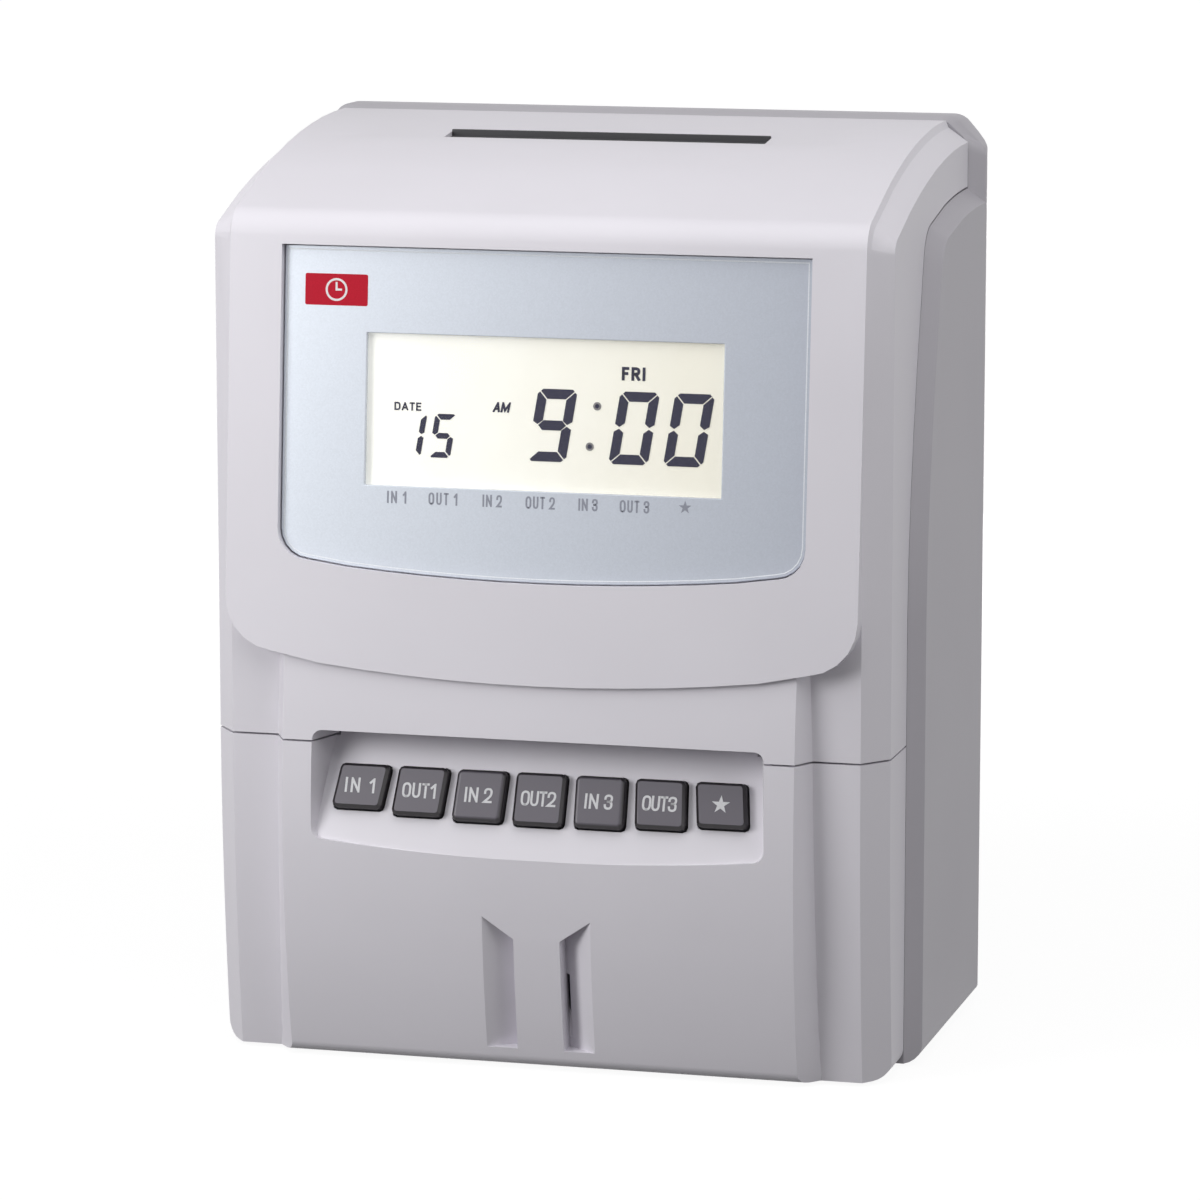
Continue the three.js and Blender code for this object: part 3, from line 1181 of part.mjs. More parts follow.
function ribbonKnob() {
  const base = cassetteZ + CASSETTE_HEIGHT + SEAT;
  const points = [];
  for (let k = 0; k < KNOB_LOBES * 2; k++) {
    const radius = k % 2 ? KNOB_RADIUS : KNOB_RADIUS - SHEET;
    const angle = (k * Math.PI) / KNOB_LOBES;
    points.push([knobX + radius * Math.cos(angle), knobY + radius * Math.sin(angle)]);
  }
  const pin = bar(
    "z", SHAFT_RADIUS, cassetteZ + WALL + SEAT, base + OVERRUN, knobX, knobY, ROUND_STEPS / 2);
  return join(prismZ(points, base, base + KNOB_HEIGHT, KEY_BEVEL), pin);
}

// Card lift
const nutBack = liftScrewY + SCREW_RADIUS + WALL;
const topBracketZ = STOP_REST + stopTravel + NUT_HEIGHT + WALL;
const pinionX = gearDistance;

function cardStop() {
  const y = STOP_THICKNESS / 2;
  const [low, high] = [STOP_REST, STOP_REST + STOP_HEIGHT];
  const tray = block(-STOP_WIDTH / 2, STOP_WIDTH / 2, SLOT_Y - y, SLOT_Y + y, low, high);
  const nutFront = liftScrewY - SCREW_RADIUS - WALL;
  const arm = block(-STOP_ARM / 2, STOP_ARM / 2, SLOT_Y, nutFront + WALL, low, high);
  const nut = block(-NUT_WIDTH / 2, NUT_WIDTH / 2, nutFront, nutBack, low, low + NUT_HEIGHT);
  const bore = bar(
    "z", SCREW_RADIUS + SCREW_CLEARANCE, low - OVERRUN, low + NUT_HEIGHT + OVERRUN, 0, liftScrewY);
  return cut(join(tray, arm, nut), bore);
}

function liftScrew() {
  const shaft = bar("z", SCREW_RADIUS, bracketZ, topBracketZ + SHEET, 0, liftScrewY);
  const wheel = prismZ(placed(gear(GEAR_TEETH, 0), 0, liftScrewY), gearZ, gearZ + GEAR_WIDTH);
  return join(shaft, wheel);
}

function liftBracket(z, ...bores) {
  const plate = block(
    -CHUTE_WIDTH / 2, CHUTE_WIDTH / 2, bracketFront, bracketBack, z, z + SHEET);
  return cut(plate, bar(
    "z", SCREW_RADIUS + SCREW_CLEARANCE, z - OVERRUN, z + SHEET + OVERRUN, 0, liftScrewY), ...bores);
}

const lowerBracket = () => liftBracket(bracketZ, bar(
  "z", SHAFT_RADIUS + SCREW_CLEARANCE, bracketZ - OVERRUN, bracketZ + SHEET + OVERRUN,
  pinionX, liftScrewY, ROUND_STEPS / 2));
const upperBracket = () => liftBracket(topBracketZ);

function liftPinion() {
  const shaft = bar(
    "z", SHAFT_RADIUS, bracketZ, gearZ + GEAR_WIDTH, pinionX, liftScrewY, ROUND_STEPS / 2);
  const turn = Math.PI + Math.PI / PINION_TEETH;
  return join(shaft, prismZ(
    placed(gear(PINION_TEETH, turn), pinionX, liftScrewY), gearZ, gearZ + GEAR_WIDTH));
}

const liftMotor = () => bar(
  "z", MOTOR_RADIUS, bracketZ - SEAT - MOTOR_LENGTH, bracketZ - SEAT, pinionX, liftScrewY);

// Power supply
const coreX = INNER_HALF - CORE_MARGIN - CORE_WIDTH / 2;
const coreBack = INNER_BACK_Y - BACK_BASE_CHAMFER;
const coreFront = coreBack - CORE_DEPTH;
const coreZ = WALL + SEAT;
const limbWindow = CORE_WIDTH / 2 - 2 * CORE_LIMB;

function coreWindow(side, grow) {
  const near = CORE_LIMB - grow;
  const far = near + limbWindow + 2 * grow;
  const [x0, x1] = side > 0 ? [near, far] : [-far, -near];
  return [coreX + x0, coreX + x1];
}

function transformerCore() {
  const half = CORE_WIDTH / 2;
  const core = block(coreX - half, coreX + half, coreFront, coreBack, coreZ, coreZ + CORE_HEIGHT);
  const windows = [-1, 1].map((side) => block(
    ...coreWindow(side, 0), coreFront - OVERRUN, coreBack + OVERRUN,
    coreZ + CORE_LIMB, coreZ + CORE_HEIGHT - CORE_LIMB));
  return cut(core, ...windows);
}

function transformerCoil() {
  const [low, high] = [coreZ + CORE_LIMB + SEAT, coreZ + CORE_HEIGHT - CORE_LIMB - SEAT];
  const outer = CORE_LIMB + limbWindow - SEAT;
  const inner = CORE_LIMB + SEAT;
  const [front, back] = [coreFront - COIL_BULGE, coreBack + COIL_BULGE / 2];
  const ring = prismZ(rounded([
    [coreX - outer, front, WALL], [coreX + outer, front, WALL],
    [coreX + outer, back, WALL], [coreX - outer, back, WALL]], CORNER_STEPS), low, high);
  return cut(ring, block(
    coreX - inner, coreX + inner, coreFront - SEAT, coreBack + SEAT, low - OVERRUN, high + OVERRUN));
}

function powerBoard() {
  const half = POWER_BOARD_WIDTH / 2;
  const board = block(
    powerBoardX - half, powerBoardX + half, powerBoardFront, powerBoardBack,
    powerBoardZ, powerBoardZ + BOARD_THICKNESS);
  const reach = CAPACITOR_RADIUS + WALL;
  const cans = [-reach, reach].map((x) => bar(
    "z", CAPACITOR_RADIUS, powerBoardZ + BOARD_THICKNESS / 2, powerBoardZ + CAPACITOR_HEIGHT,
    powerBoardX + x, powerBoardFront + reach));
  return join(board, ...cans);
}

function powerInlet() {
  const [w, h] = [INLET_WIDTH / 2, INLET_HEIGHT / 2];
  const back = BACK_Y - SEAT;
  const body = block(inletX - w, inletX + w, back - INLET_DEPTH, back, INLET_Z - h, INLET_Z + h);
  const [reach, round] = [SOCKET_WIDTH / 2, SOCKET_HEIGHT / 2];
  const corners = [[-reach, -round], [reach, -round], [reach, round], [-reach, round]];
  const socket = rounded(
    corners.map(([x, z]) => [inletX + x, INLET_Z + z, round - SEAT]), CORNER_STEPS);
  return cut(body, prismY(socket, back - SOCKET_DEPTH, BACK_Y + OVERRUN));
}

const inletPin = (side) => bar(
  "y", PIN_RADIUS, BACK_Y - SOCKET_DEPTH, BACK_Y - SOCKET_DEPTH + PIN_LENGTH,
  inletX + (side * PIN_SPACING) / 2, INLET_Z, ROUND_STEPS / 2);

// Hanger plates with a keyhole each, screws and feet
function hangerPlate(side) {
  const [w, h] = [HANGER_WIDTH / 2, HANGER_HEIGHT / 2];
  const x = side * hangerX;
  const plate = block(x - w, x + w, BACK_Y - HANGER_THICKNESS, BACK_Y, hangerZ - h, hangerZ + h);
  const [y0, y1] = [BACK_Y - HANGER_THICKNESS - OVERRUN, BACK_Y + OVERRUN];
  const low = hangerZ - KEYHOLE_LENGTH / 2;
  const head = bar("y", KEYHOLE_RADIUS, y0, y1, x, low);
  const top = low + KEYHOLE_LENGTH;
  const slot = block(x - KEYHOLE_SLOT, x + KEYHOLE_SLOT, y0, y1, low, top);
  return cut(plate, head, slot, bar("y", KEYHOLE_SLOT, y0, y1, x, top, ROUND_STEPS / 2));
}

const caseScrew = ([x, z]) => join(
  bar("y", CASE_SCREW_HEAD, BACK_Y - HEAD_THICKNESS, BACK_Y - SEAT / 2, x, z),
  bar(
    "y", CASE_SCREW_SHANK, BACK_Y - SEAT - CASE_SCREW_LENGTH, BACK_Y - HEAD_THICKNESS / 2, x, z,
    ROUND_STEPS / 2));

const foot = ([x, y]) => bar("z", FOOT_RADIUS, -FOOT_STAND, footTop, x, y);

// The whole clock
const parts = new THREE.Group();

function material(color, roughness, metalness = 0) {
  return new THREE.MeshStandardMaterial({ color, roughness, metalness });
}

const caseGrey = material(0xd4d4d8, 0.45);
const panelSilver = material(0xbcc6d2, 0.35);
const clear = material(0xf4f4ee, 0.1);
const keyGrey = material(0x5c5a60, 0.6);
const darkPlastic = material(0x2a2a2e, 0.6);
const boardGreen = material(0x2c5c3a, 0.6);
const sheetSteel = material(0xb6b8ba, 0.35, 1);
const motorSteel = material(0x9a9c9e, 0.3, 1);
const brass = material(0xb8964a, 0.35, 1);
const rubber = material(0x202022, 0.9);
const whitePlastic = material(0xe8e8e0, 0.5);
const copper = material(0xa8602c, 0.4);

function add(name, solid, look) {
  const mesh = new THREE.Mesh(toGeometry(solid), look);
  mesh.name = name;
  parts.add(mesh);
}

add("rear_case", rearCase(), caseGrey);
add("top_cover", topCover(), caseGrey);
add("lower_cover", lowerCover(), caseGrey);
add("display_panel", displayPanel(), panelSilver);
add("display_window", displayWindow(), clear);
add("lcd_glass", onHood(lcdBlock(lcdFront, lcdFront + LCD_THICKNESS)), clear);
add("backlight", onHood(lcdBlock(backlightFront, boardFront - SEAT)), whitePlastic);
add("main_board", mainBoard(), boardGreen);
add("buzzer", buzzer(), darkPlastic);
add("backup_battery", battery(), copper);

const keyNames = ["in_1", "out_1", "in_2", "out_2", "in_3", "out_3", "star"];
keyPlaces.forEach((place, k) => add("key_" + (keyNames[k] ?? k), keyCap(place), keyGrey));
add("key_board", keyBoard(), boardGreen);

add("frame_right", framePlate(), sheetSteel);
add("frame_left", moved(framePlate(), mirrorX), sheetSteel);
add("chute_front", chuteFront(), sheetSteel);
add("chute_rear", chuteRear(), sheetSteel);
add("platen", platen(), rubber);
railHeights.forEach((z, k) => add("rail_" + ["lower", "upper"][k], rail(z), motorSteel));
add("print_carriage", printCarriage(), darkPlastic);
add("print_head", printHead(), motorSteel);
add("carriage_screw", carriageScrew(), brass);
add("carriage_pinion", carriagePinion(), brass);
add("carriage_motor", carriageMotor(), motorSteel);
add("ribbon_cassette", ribbonCassette(), darkPlastic);
add("ink_ribbon", inkRibbon(), rubber);
add("ribbon_knob", ribbonKnob(), whitePlastic);

add("card_stop", cardStop(), whitePlastic);
add("lift_screw", liftScrew(), brass);
add("lift_pinion", liftPinion(), brass);
add("lift_motor", liftMotor(), motorSteel);
add("lift_bracket_lower", lowerBracket(), sheetSteel);
add("lift_bracket_upper", upperBracket(), sheetSteel);

add("transformer_core", transformerCore(), motorSteel);
add("transformer_coil", transformerCoil(), copper);
add("power_board", powerBoard(), boardGreen);
add("power_inlet", powerInlet(), darkPlastic);
[-1, 1].forEach((side, k) => add("inlet_pin_" + ["left", "right"][k], inletPin(side), brass));
[-1, 1].forEach((side, k) => add("hanger_" + ["left", "right"][k], hangerPlate(side), sheetSteel));
caseScrewPlaces.forEach((place, k) => add("case_screw_" + (k + 1), caseScrew(place), sheetSteel));
footPlaces.forEach((place, k) => add("foot_" + (k + 1), foot(place), rubber));

parts.position.z = FOOT_STAND;

export default parts;
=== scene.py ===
"""Looks of a desk and wall time clock with a card slot in its top, laid out as an add-on."""

import json
import math

import bmesh
import bpy
from mathutils import Matrix, Vector

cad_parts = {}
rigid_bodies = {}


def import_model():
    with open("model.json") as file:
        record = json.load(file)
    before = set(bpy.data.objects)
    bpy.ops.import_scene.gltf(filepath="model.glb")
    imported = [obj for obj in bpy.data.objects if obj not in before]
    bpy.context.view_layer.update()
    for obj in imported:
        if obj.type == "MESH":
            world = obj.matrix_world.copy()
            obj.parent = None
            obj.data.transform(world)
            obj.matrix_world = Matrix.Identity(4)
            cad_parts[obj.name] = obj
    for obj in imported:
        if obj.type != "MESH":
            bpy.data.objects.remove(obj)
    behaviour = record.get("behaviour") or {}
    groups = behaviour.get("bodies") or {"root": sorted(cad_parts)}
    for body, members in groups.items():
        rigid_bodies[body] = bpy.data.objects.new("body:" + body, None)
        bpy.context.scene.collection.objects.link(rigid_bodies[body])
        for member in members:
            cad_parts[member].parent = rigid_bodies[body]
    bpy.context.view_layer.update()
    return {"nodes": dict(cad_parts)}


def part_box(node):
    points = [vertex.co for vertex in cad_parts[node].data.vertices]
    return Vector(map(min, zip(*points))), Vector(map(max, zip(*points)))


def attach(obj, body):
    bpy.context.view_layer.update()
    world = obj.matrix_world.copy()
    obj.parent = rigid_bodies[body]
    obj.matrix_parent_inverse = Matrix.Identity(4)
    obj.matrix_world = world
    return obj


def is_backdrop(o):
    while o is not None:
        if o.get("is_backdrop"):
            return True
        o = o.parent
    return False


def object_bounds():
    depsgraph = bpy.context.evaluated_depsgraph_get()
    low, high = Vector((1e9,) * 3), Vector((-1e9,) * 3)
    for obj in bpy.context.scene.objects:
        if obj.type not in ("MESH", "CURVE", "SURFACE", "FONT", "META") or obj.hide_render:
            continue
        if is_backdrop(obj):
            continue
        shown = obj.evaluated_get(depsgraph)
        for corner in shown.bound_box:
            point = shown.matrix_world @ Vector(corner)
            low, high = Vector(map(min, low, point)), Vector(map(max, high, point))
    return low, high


bl_info = {
    "name": "Time Clock",
    "version": (1, 0, 0),
    "blender": (4, 5, 0),
    "location": "3D View > Sidebar > Time Clock",
    "description": "Dresses the packed time clock: case, display, keys, card drive and power parts",
    "category": "Object",
}

# What Blender starts with goes, so that only the frame's objects are there
for leftover in list(bpy.data.objects):
    bpy.data.objects.remove(leftover)
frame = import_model()
MM = 0.001
UP = Vector((0, 0, 1))

# Corners nearer than this are one, facets that turn less are one flat, edges that turn more are rounded
WELD_DISTANCE = 0.002 * MM
FLAT_ANGLE = math.radians(0.6)
EDGE_ANGLE = math.radians(23.5)


def linear(code):
    """An sRGB hex colour as linear red, green and blue."""
    levels = [int(code[start:start + 2], 16) / 255 for start in (1, 3, 5)]
    return tuple(
        level / 12.92 if level <= 0.04045 else ((level + 0.055) / 1.055) ** 2.4 for level in levels)


# Sizes and colours that a user would change

def length(name, description, default):
    return bpy.props.FloatProperty(
        name=name, description=description, default=default * MM, min=0, subtype="DISTANCE",
        unit="LENGTH")


def tint(name, description, code):
    return bpy.props.FloatVectorProperty(
        name=name, description=description, default=linear(code), size=3, min=0, max=1,
        subtype="COLOR")


def turned(name, description, degrees):
    return bpy.props.FloatProperty(
        name=name, description=description, default=math.radians(degrees), subtype="ANGLE")


def watts(name, description, default):
    return bpy.props.FloatProperty(
        name=name, description=description, default=default, min=0, unit="POWER")


class TimeClockSizes(bpy.types.PropertyGroup):
    shell_edge: length("Case edge", "Radius on the edges of the moulded covers", 0.7)
    small_edge: length("Small edge", "Radius on the edges of panels and small mouldings", 0.25)
    key_edge: length("Key edge", "Radius on the edges of a key cap", 0.45)
    metal_edge: length("Metal edge", "Radius on the edges of sheet and turned metal", 0.15)
    ink: length("Ink thickness", "How far a printed mark stands on its surface", 0.04)
    time_height: length("Time height", "Height of the large digits", 18.3)
    time_width: length("Time width", "Width of one large digit", 10.2)
    time_stroke: length("Time stroke", "Width of a segment in the large digits", 2.5)
    date_height: length("Date height", "Height of the small digits", 11.1)
    date_width: length("Date width", "Width of one small digit", 5.7)
    date_stroke: length("Date stroke", "Width of a segment in the small digits", 1.45)
    segment_gap: length("Segment gap", "Half the gap between two segments", 0.22)
    legend_height: length("Legend height", "Height of the column names on the panel", 3.1)
    key_legend_height: length("Key legend height", "Height of the words on the keys", 3.9)


class TimeClockColours(bpy.types.PropertyGroup):
    case_abs: tint("Case", "Light grey of the moulded covers", "#DFDCE3")
    # The rear case's darker grey is painted shade, where its sides turn away from the lamps
    rear_abs_painted_shade: tint("Rear case", "Light grey of the rear case, a shade darker", "#B1AEB5")
    # The panel's two tones are painted light: paler on the lamp's side at the left, painted shade at the
    # right
    silver_painted_light_left: tint("Panel left", "Silver blue at the left of the display panel", "#D2D8E1")
    silver_painted_shade_right: tint("Panel right", "Silver blue at the right of the display panel", "#B4B9C4")
    accent: tint("Accent", "Red of the small label on the panel", "#BE2235")
    panel_ink: tint("Panel ink", "Grey of the words on the panel", "#8E919D")
    lcd_ground: tint("Display ground", "Lit ground of the display", "#F8F8F3")
    lcd_far: tint("Display far end", "Ground of the display at its right, a little darker", "#E4E1D4")
    lcd_ink: tint("Display ink", "Dark segments and words of the display", "#2A2946")
    key_abs: tint("Keys", "Dark grey of the key caps", "#56525B")
    # The key sides' near-black is painted shade, where they turn away from the lamps
    key_side_painted_shade: tint("Key sides", "Near-black plastic at the sides of the keys", "#161016")
    key_ink: tint("Key ink", "Light grey of the words on the keys", "#CDCDD0")


class TimeClockLight(bpy.types.PropertyGroup):
    lens: bpy.props.FloatProperty(
        name="Lens", description="Focal length on a 36 mm sensor", default=163.0, min=20, unit="CAMERA")
    turn: turned("Turn", "How far the camera looks to the left of straight at the back", 15.079)
    tilt: turned("Tilt", "How far the camera looks down", 9.619)
    key_power: watts("Key lamp", "Power of the soft lamp at the left in front", 2.5)
    top_power: watts("Top lamp", "Power of the soft lamp above the front", 1.65)
    side_power: watts("Side lamp", "Power of the soft lamp at the upper right", 4.2)
    back_power: watts("Back lamp", "Power of the soft lamp behind, for views of the back", 3.0)
    room: bpy.props.FloatProperty(
        name="Room", description="Strength of the even light all round", default=0.15, min=0)


SETTINGS = {
    "time_clock_sizes": TimeClockSizes, "time_clock_colours": TimeClockColours,
    "time_clock_light": TimeClockLight}


def settings():
    """The sizes, the colours and the light that the scene holds."""
    return [getattr(bpy.context.scene, name) for name in SETTINGS]


# Materials

def add_node(tree, kind, inputs=None, **options):
    """Adds one node, sets its options, and gives each named input a value or a link."""
    node = tree.nodes.new(kind)
    for option, value in options.items():
        setattr(node, option, value)
    for socket, value in (inputs or {}).items():
        if isinstance(value, bpy.types.NodeSocket):
            tree.links.new(value, node.inputs[socket])
        else:
            node.inputs[socket].default_value = value
    return node


def new_material(name):
    """A material, its node tree, and in it the place on the object, in metres."""
    material = bpy.data.materials.new(name)
    material.use_nodes = True
    tree = material.node_tree
    tree.nodes.clear()
    return material, tree, add_node(tree, "ShaderNodeTexCoord").outputs["Object"]


def rgba(colour):
    return (*colour[:3], 1)


def shade(colour, factor):
    return rgba([min(1, level * factor) for level in colour])


def set_ramp(node, stops):
    """Sets the stops of a colour ramp, from (place, colour) pairs."""
    ramp = node.color_ramp
    while len(ramp.elements) < len(stops):
        ramp.elements.new(1)
    for element, (place, colour) in zip(ramp.elements, stops):
        element.position = place
        element.color = colour


def moulded_plastic(name, colour, grain, depth, rough, gloss=0.0, spread=0.04):
    """Moulded plastic or rubber: a fine grain in millimetres, a slight drift of tone and a satin skin.

    The real grains are 0.1 mm and finer, so all are drawn coarser, to show at all.
    """
    material, tree, place = new_material(name)
    # Flow in the mould leaves very wide, faint changes of tone and shine
    drift = add_node(tree, "ShaderNodeTexNoise", {
        "Vector": place, "Scale": 1 / (45 * MM), "Detail": 3.0, "Roughness": 0.5})
    body = add_node(tree, "ShaderNodeValToRGB", {"Fac": drift.outputs["Fac"]})
    set_ramp(body, [(0.3, shade(colour, 1 - spread)), (0.7, shade(colour, 1 + spread / 2))])
    skin = add_node(tree, "ShaderNodeMapRange", {
        "Value": drift.outputs["Fac"], "To Min": rough - 0.04, "To Max": rough + 0.05})
    grainy = add_node(tree, "ShaderNodeTexNoise", {
        "Vector": place, "Scale": 1 / (grain * MM), "Detail": 2.0, "Roughness": 0.6})
    bump = add_node(tree, "ShaderNodeBump", {
        "Height": grainy.outputs["Fac"], "Strength": 0.5, "Distance": depth * MM})
    shader = add_node(tree, "ShaderNodeBsdfPrincipled", {
        "Base Color": body.outputs["Color"], "Roughness": skin.outputs["Result"], "IOR": 1.53,
        "Coat Weight": gloss, "Coat Roughness": 0.08, "Normal": bump.outputs["Normal"]})
    add_node(tree, "ShaderNodeOutputMaterial", {"Surface": shader.outputs["BSDF"]})
    return material


def case_abs():
    # Moulded ABS with a spark-eroded grain of about 0.1 mm, drawn at 0.5 mm so that it shows:
    # a matt light grey, a trace violet, that takes soft wide highlights
    colours = settings()[1]
    return moulded_plastic("moulded_abs_light_grey", colours.case_abs, 0.5, 0.012, 0.5, spread=0.02)


def rear_abs_painted_shade():
    # The same moulded ABS as the covers, made darker as painted shade for the rear case's sides
    colours = settings()[1]
    return moulded_plastic("moulded_abs_light_grey_rear", colours.rear_abs_painted_shade, 0.5, 0.012, 0.5, spread=0.02)


# Cosines of a spot's angle to the key's face: up to the first it is all painted shade, from the second all
# grey
FULL_SIDE_SHADE_UNTIL = 0.75
NO_SIDE_SHADE_FROM = 0.98


def key_grey():
    # Moulded dark grey ABS. The sides and the rounded rim are painted near black as painted shade, mixed
    # in by how far a spot turns from the key's face, and the fine grain catches a little light
    colours = settings()[1]
    material = moulded_plastic("moulded_abs_dark_grey", colours.key_abs, 0.35, 0.006, 0.4, spread=0.05)
    tree = material.node_tree
    shader = tree.nodes["Principled BSDF"]
    face_grey = shader.inputs["Base Color"].links[0].from_socket
    # Painted shade: the further a spot turns from the key's face, the nearer it goes to the near-black of
    # the sides
    forwards = add_node(tree, "ShaderNodeVectorMath", {
        0: add_node(tree, "ShaderNodeNewGeometry").outputs["True Normal"],
        1: front_face("key_star").col[2].xyz}, operation="DOT_PRODUCT")
    cover = add_node(tree, "ShaderNodeMapRange", {
        "Value": forwards.outputs["Value"], "From Min": FULL_SIDE_SHADE_UNTIL, "From Max": NO_SIDE_SHADE_FROM})
    # The mix node's colours are its inputs 6 and 7 and its output 2
    both = add_node(tree, "ShaderNodeMix", {
        "Factor": cover.outputs["Result"], 6: rgba(colours.key_side_painted_shade), 7: face_grey}, data_type="RGBA")
    tree.links.new(both.outputs[2], shader.inputs["Base Color"])
    return material


def white_plastic():
    # Natural acetal: milky white and slightly waxy
    return moulded_plastic("moulded_acetal_natural", linear("#E4E3DC"), 0.4, 0.004, 0.35)


def dark_plastic():
    # Glass-filled nylon: near black, with the matt streaks of its filler
    return moulded_plastic("moulded_nylon_black", linear("#26262A"), 0.3, 0.015, 0.55, spread=0.12)


def battery_wrap():
    # Heat-shrunk PVC sleeve: green, thin and glossy
    return moulded_plastic("shrink_sleeve_green", linear("#2F6B4C"), 1.2, 0.01, 0.3, gloss=0.5)


def rubber():
    # Moulded rubber with a bloom: matt, black and a little uneven
    return moulded_plastic("moulded_rubber_black", linear("#232325"), 0.4, 0.03, 0.8, spread=0.15)


def panel_silver():
    # Polycarbonate film, printed on its back with silver-blue flake ink: a cool satin sheet whose ground
    # is painted paler towards the lamp's side and darker away from it as painted light, with flakes of
    # about
    # 0.05 mm drawn at 0.4 mm so that they show
    colours = settings()[1]
    low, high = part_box("display_panel")
    material, tree, place = new_material("printed_film_silver_blue")
    across = add_node(tree, "ShaderNodeSeparateXYZ", {"Vector": place}).outputs["X"]
    share = add_node(tree, "ShaderNodeMapRange", {"Value": across, "From Min": low.x, "From Max": high.x})
    # Painted light: the ground runs from lit at the left to shaded at the right
    ground = add_node(tree, "ShaderNodeValToRGB", {"Fac": share.outputs["Result"]})
    set_ramp(ground, [(0.0, rgba(colours.silver_painted_light_left)), (1.0, rgba(colours.silver_painted_shade_right))])
    flakes = add_node(tree, "ShaderNodeTexVoronoi", {"Vector": place, "Scale": 1 / (0.4 * MM)})
    glint = add_node(tree, "ShaderNodeMapRange", {
        "Value": flakes.outputs["Color"], "To Min": 0.955, "To Max": 1.03})
    body = add_node(tree, "ShaderNodeVectorMath", {
        0: ground.outputs["Color"], 1: glint.outputs["Result"]}, operation="MULTIPLY")
    skin = add_node(tree, "ShaderNodeMapRange", {
        "Value": flakes.outputs["Distance"], "To Min": 0.3, "To Max": 0.42})
    shader = add_node(tree, "ShaderNodeBsdfPrincipled", {
        "Base Color": body.outputs["Vector"], "Metallic": 0.25, "Roughness": skin.outputs["Result"],
        "IOR": 1.58})
    add_node(tree, "ShaderNodeOutputMaterial", {"Surface": shader.outputs["BSDF"]})
    return material


def window_clear():
    # Cast acrylic: colourless and polished, so it only adds a thin sheen over the display;
    # faint wipe marks about 6 mm wide break its gloss
    material, tree, place = new_material("cast_acrylic_clear")
    marks = add_node(tree, "ShaderNodeTexNoise", {"Vector": place, "Scale": 1 / (6 * MM), "Detail": 4.0})
    skin = add_node(tree, "ShaderNodeMapRange", {
        "Value": marks.outputs["Fac"], "To Min": 0.04, "To Max": 0.1})
    shader = add_node(tree, "ShaderNodeBsdfPrincipled", {
        "Base Color": rgba(linear("#FAFAF6")), "Roughness": skin.outputs["Result"], "IOR": 1.49,
        "Alpha": 0.03})
    add_node(tree, "ShaderNodeOutputMaterial", {"Surface": shader.outputs["BSDF"]})
    material.blend_method = "BLEND"
    return material


def lcd():
    # Glass cell over a lit diffuser: warm white, a touch darker towards the right, with faint clouds
    # about 14 mm wide and the diffuser's frosted grain of about 0.8 mm
    colours = settings()[1]
    low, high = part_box("lcd_glass")
    material, tree, place = new_material("lcd_cell_lit")
    across = add_node(tree, "ShaderNodeSeparateXYZ", {"Vector": place}).outputs["X"]
    share = add_node(tree, "ShaderNodeMapRange", {"Value": across, "From Min": low.x, "From Max": high.x})
    cloud = add_node(tree, "ShaderNodeTexNoise", {"Vector": place, "Scale": 1 / (14 * MM), "Detail": 2.0})
    mixed = add_node(tree, "ShaderNodeMath", {
        0: cloud.outputs["Fac"], 1: 0.25, 2: share.outputs["Result"]}, operation="MULTIPLY_ADD")
    ground = add_node(tree, "ShaderNodeValToRGB", {"Fac": mixed.outputs["Value"]})
    set_ramp(ground, [(0.1, rgba(colours.lcd_ground)), (1.0, rgba(colours.lcd_far))])
    frost = add_node(tree, "ShaderNodeTexNoise", {"Vector": place, "Scale": 1 / (0.8 * MM)})
    bump = add_node(tree, "ShaderNodeBump", {
        "Height": frost.outputs["Fac"], "Strength": 0.2, "Distance": 0.005 * MM})
    shader = add_node(tree, "ShaderNodeBsdfPrincipled", {
        "Base Color": ground.outputs["Color"], "Roughness": 0.4, "IOR": 1.52,
        "Emission Color": ground.outputs["Color"], "Emission Strength": 0.3,
        "Normal": bump.outputs["Normal"]})
    add_node(tree, "ShaderNodeOutputMaterial", {"Surface": shader.outputs["BSDF"]})
    return material


def printed_ink(name, colour, rough=0.5, ior=1.5):
    """Screen-printed ink: one tone with the faint mesh of the screen, about 0.15 mm, drawn at 0.3 mm.

    Ink under a glass or a film has no boundary to the air, so its index against that cover is near one.
    """
    material, tree, place = new_material(name)
    mesh = add_node(tree, "ShaderNodeTexNoise", {"Vector": place, "Scale": 1 / (0.3 * MM), "Detail": 1.0})
    body = add_node(tree, "ShaderNodeValToRGB", {"Fac": mesh.outputs["Fac"]})
    set_ramp(body, [(0.3, shade(colour, 0.94)), (0.7, shade(colour, 1.05))])
    shader = add_node(tree, "ShaderNodeBsdfPrincipled", {
        "Base Color": body.outputs["Color"], "Roughness": rough, "IOR": ior})
    add_node(tree, "ShaderNodeOutputMaterial", {"Surface": shader.outputs["BSDF"]})
    return material


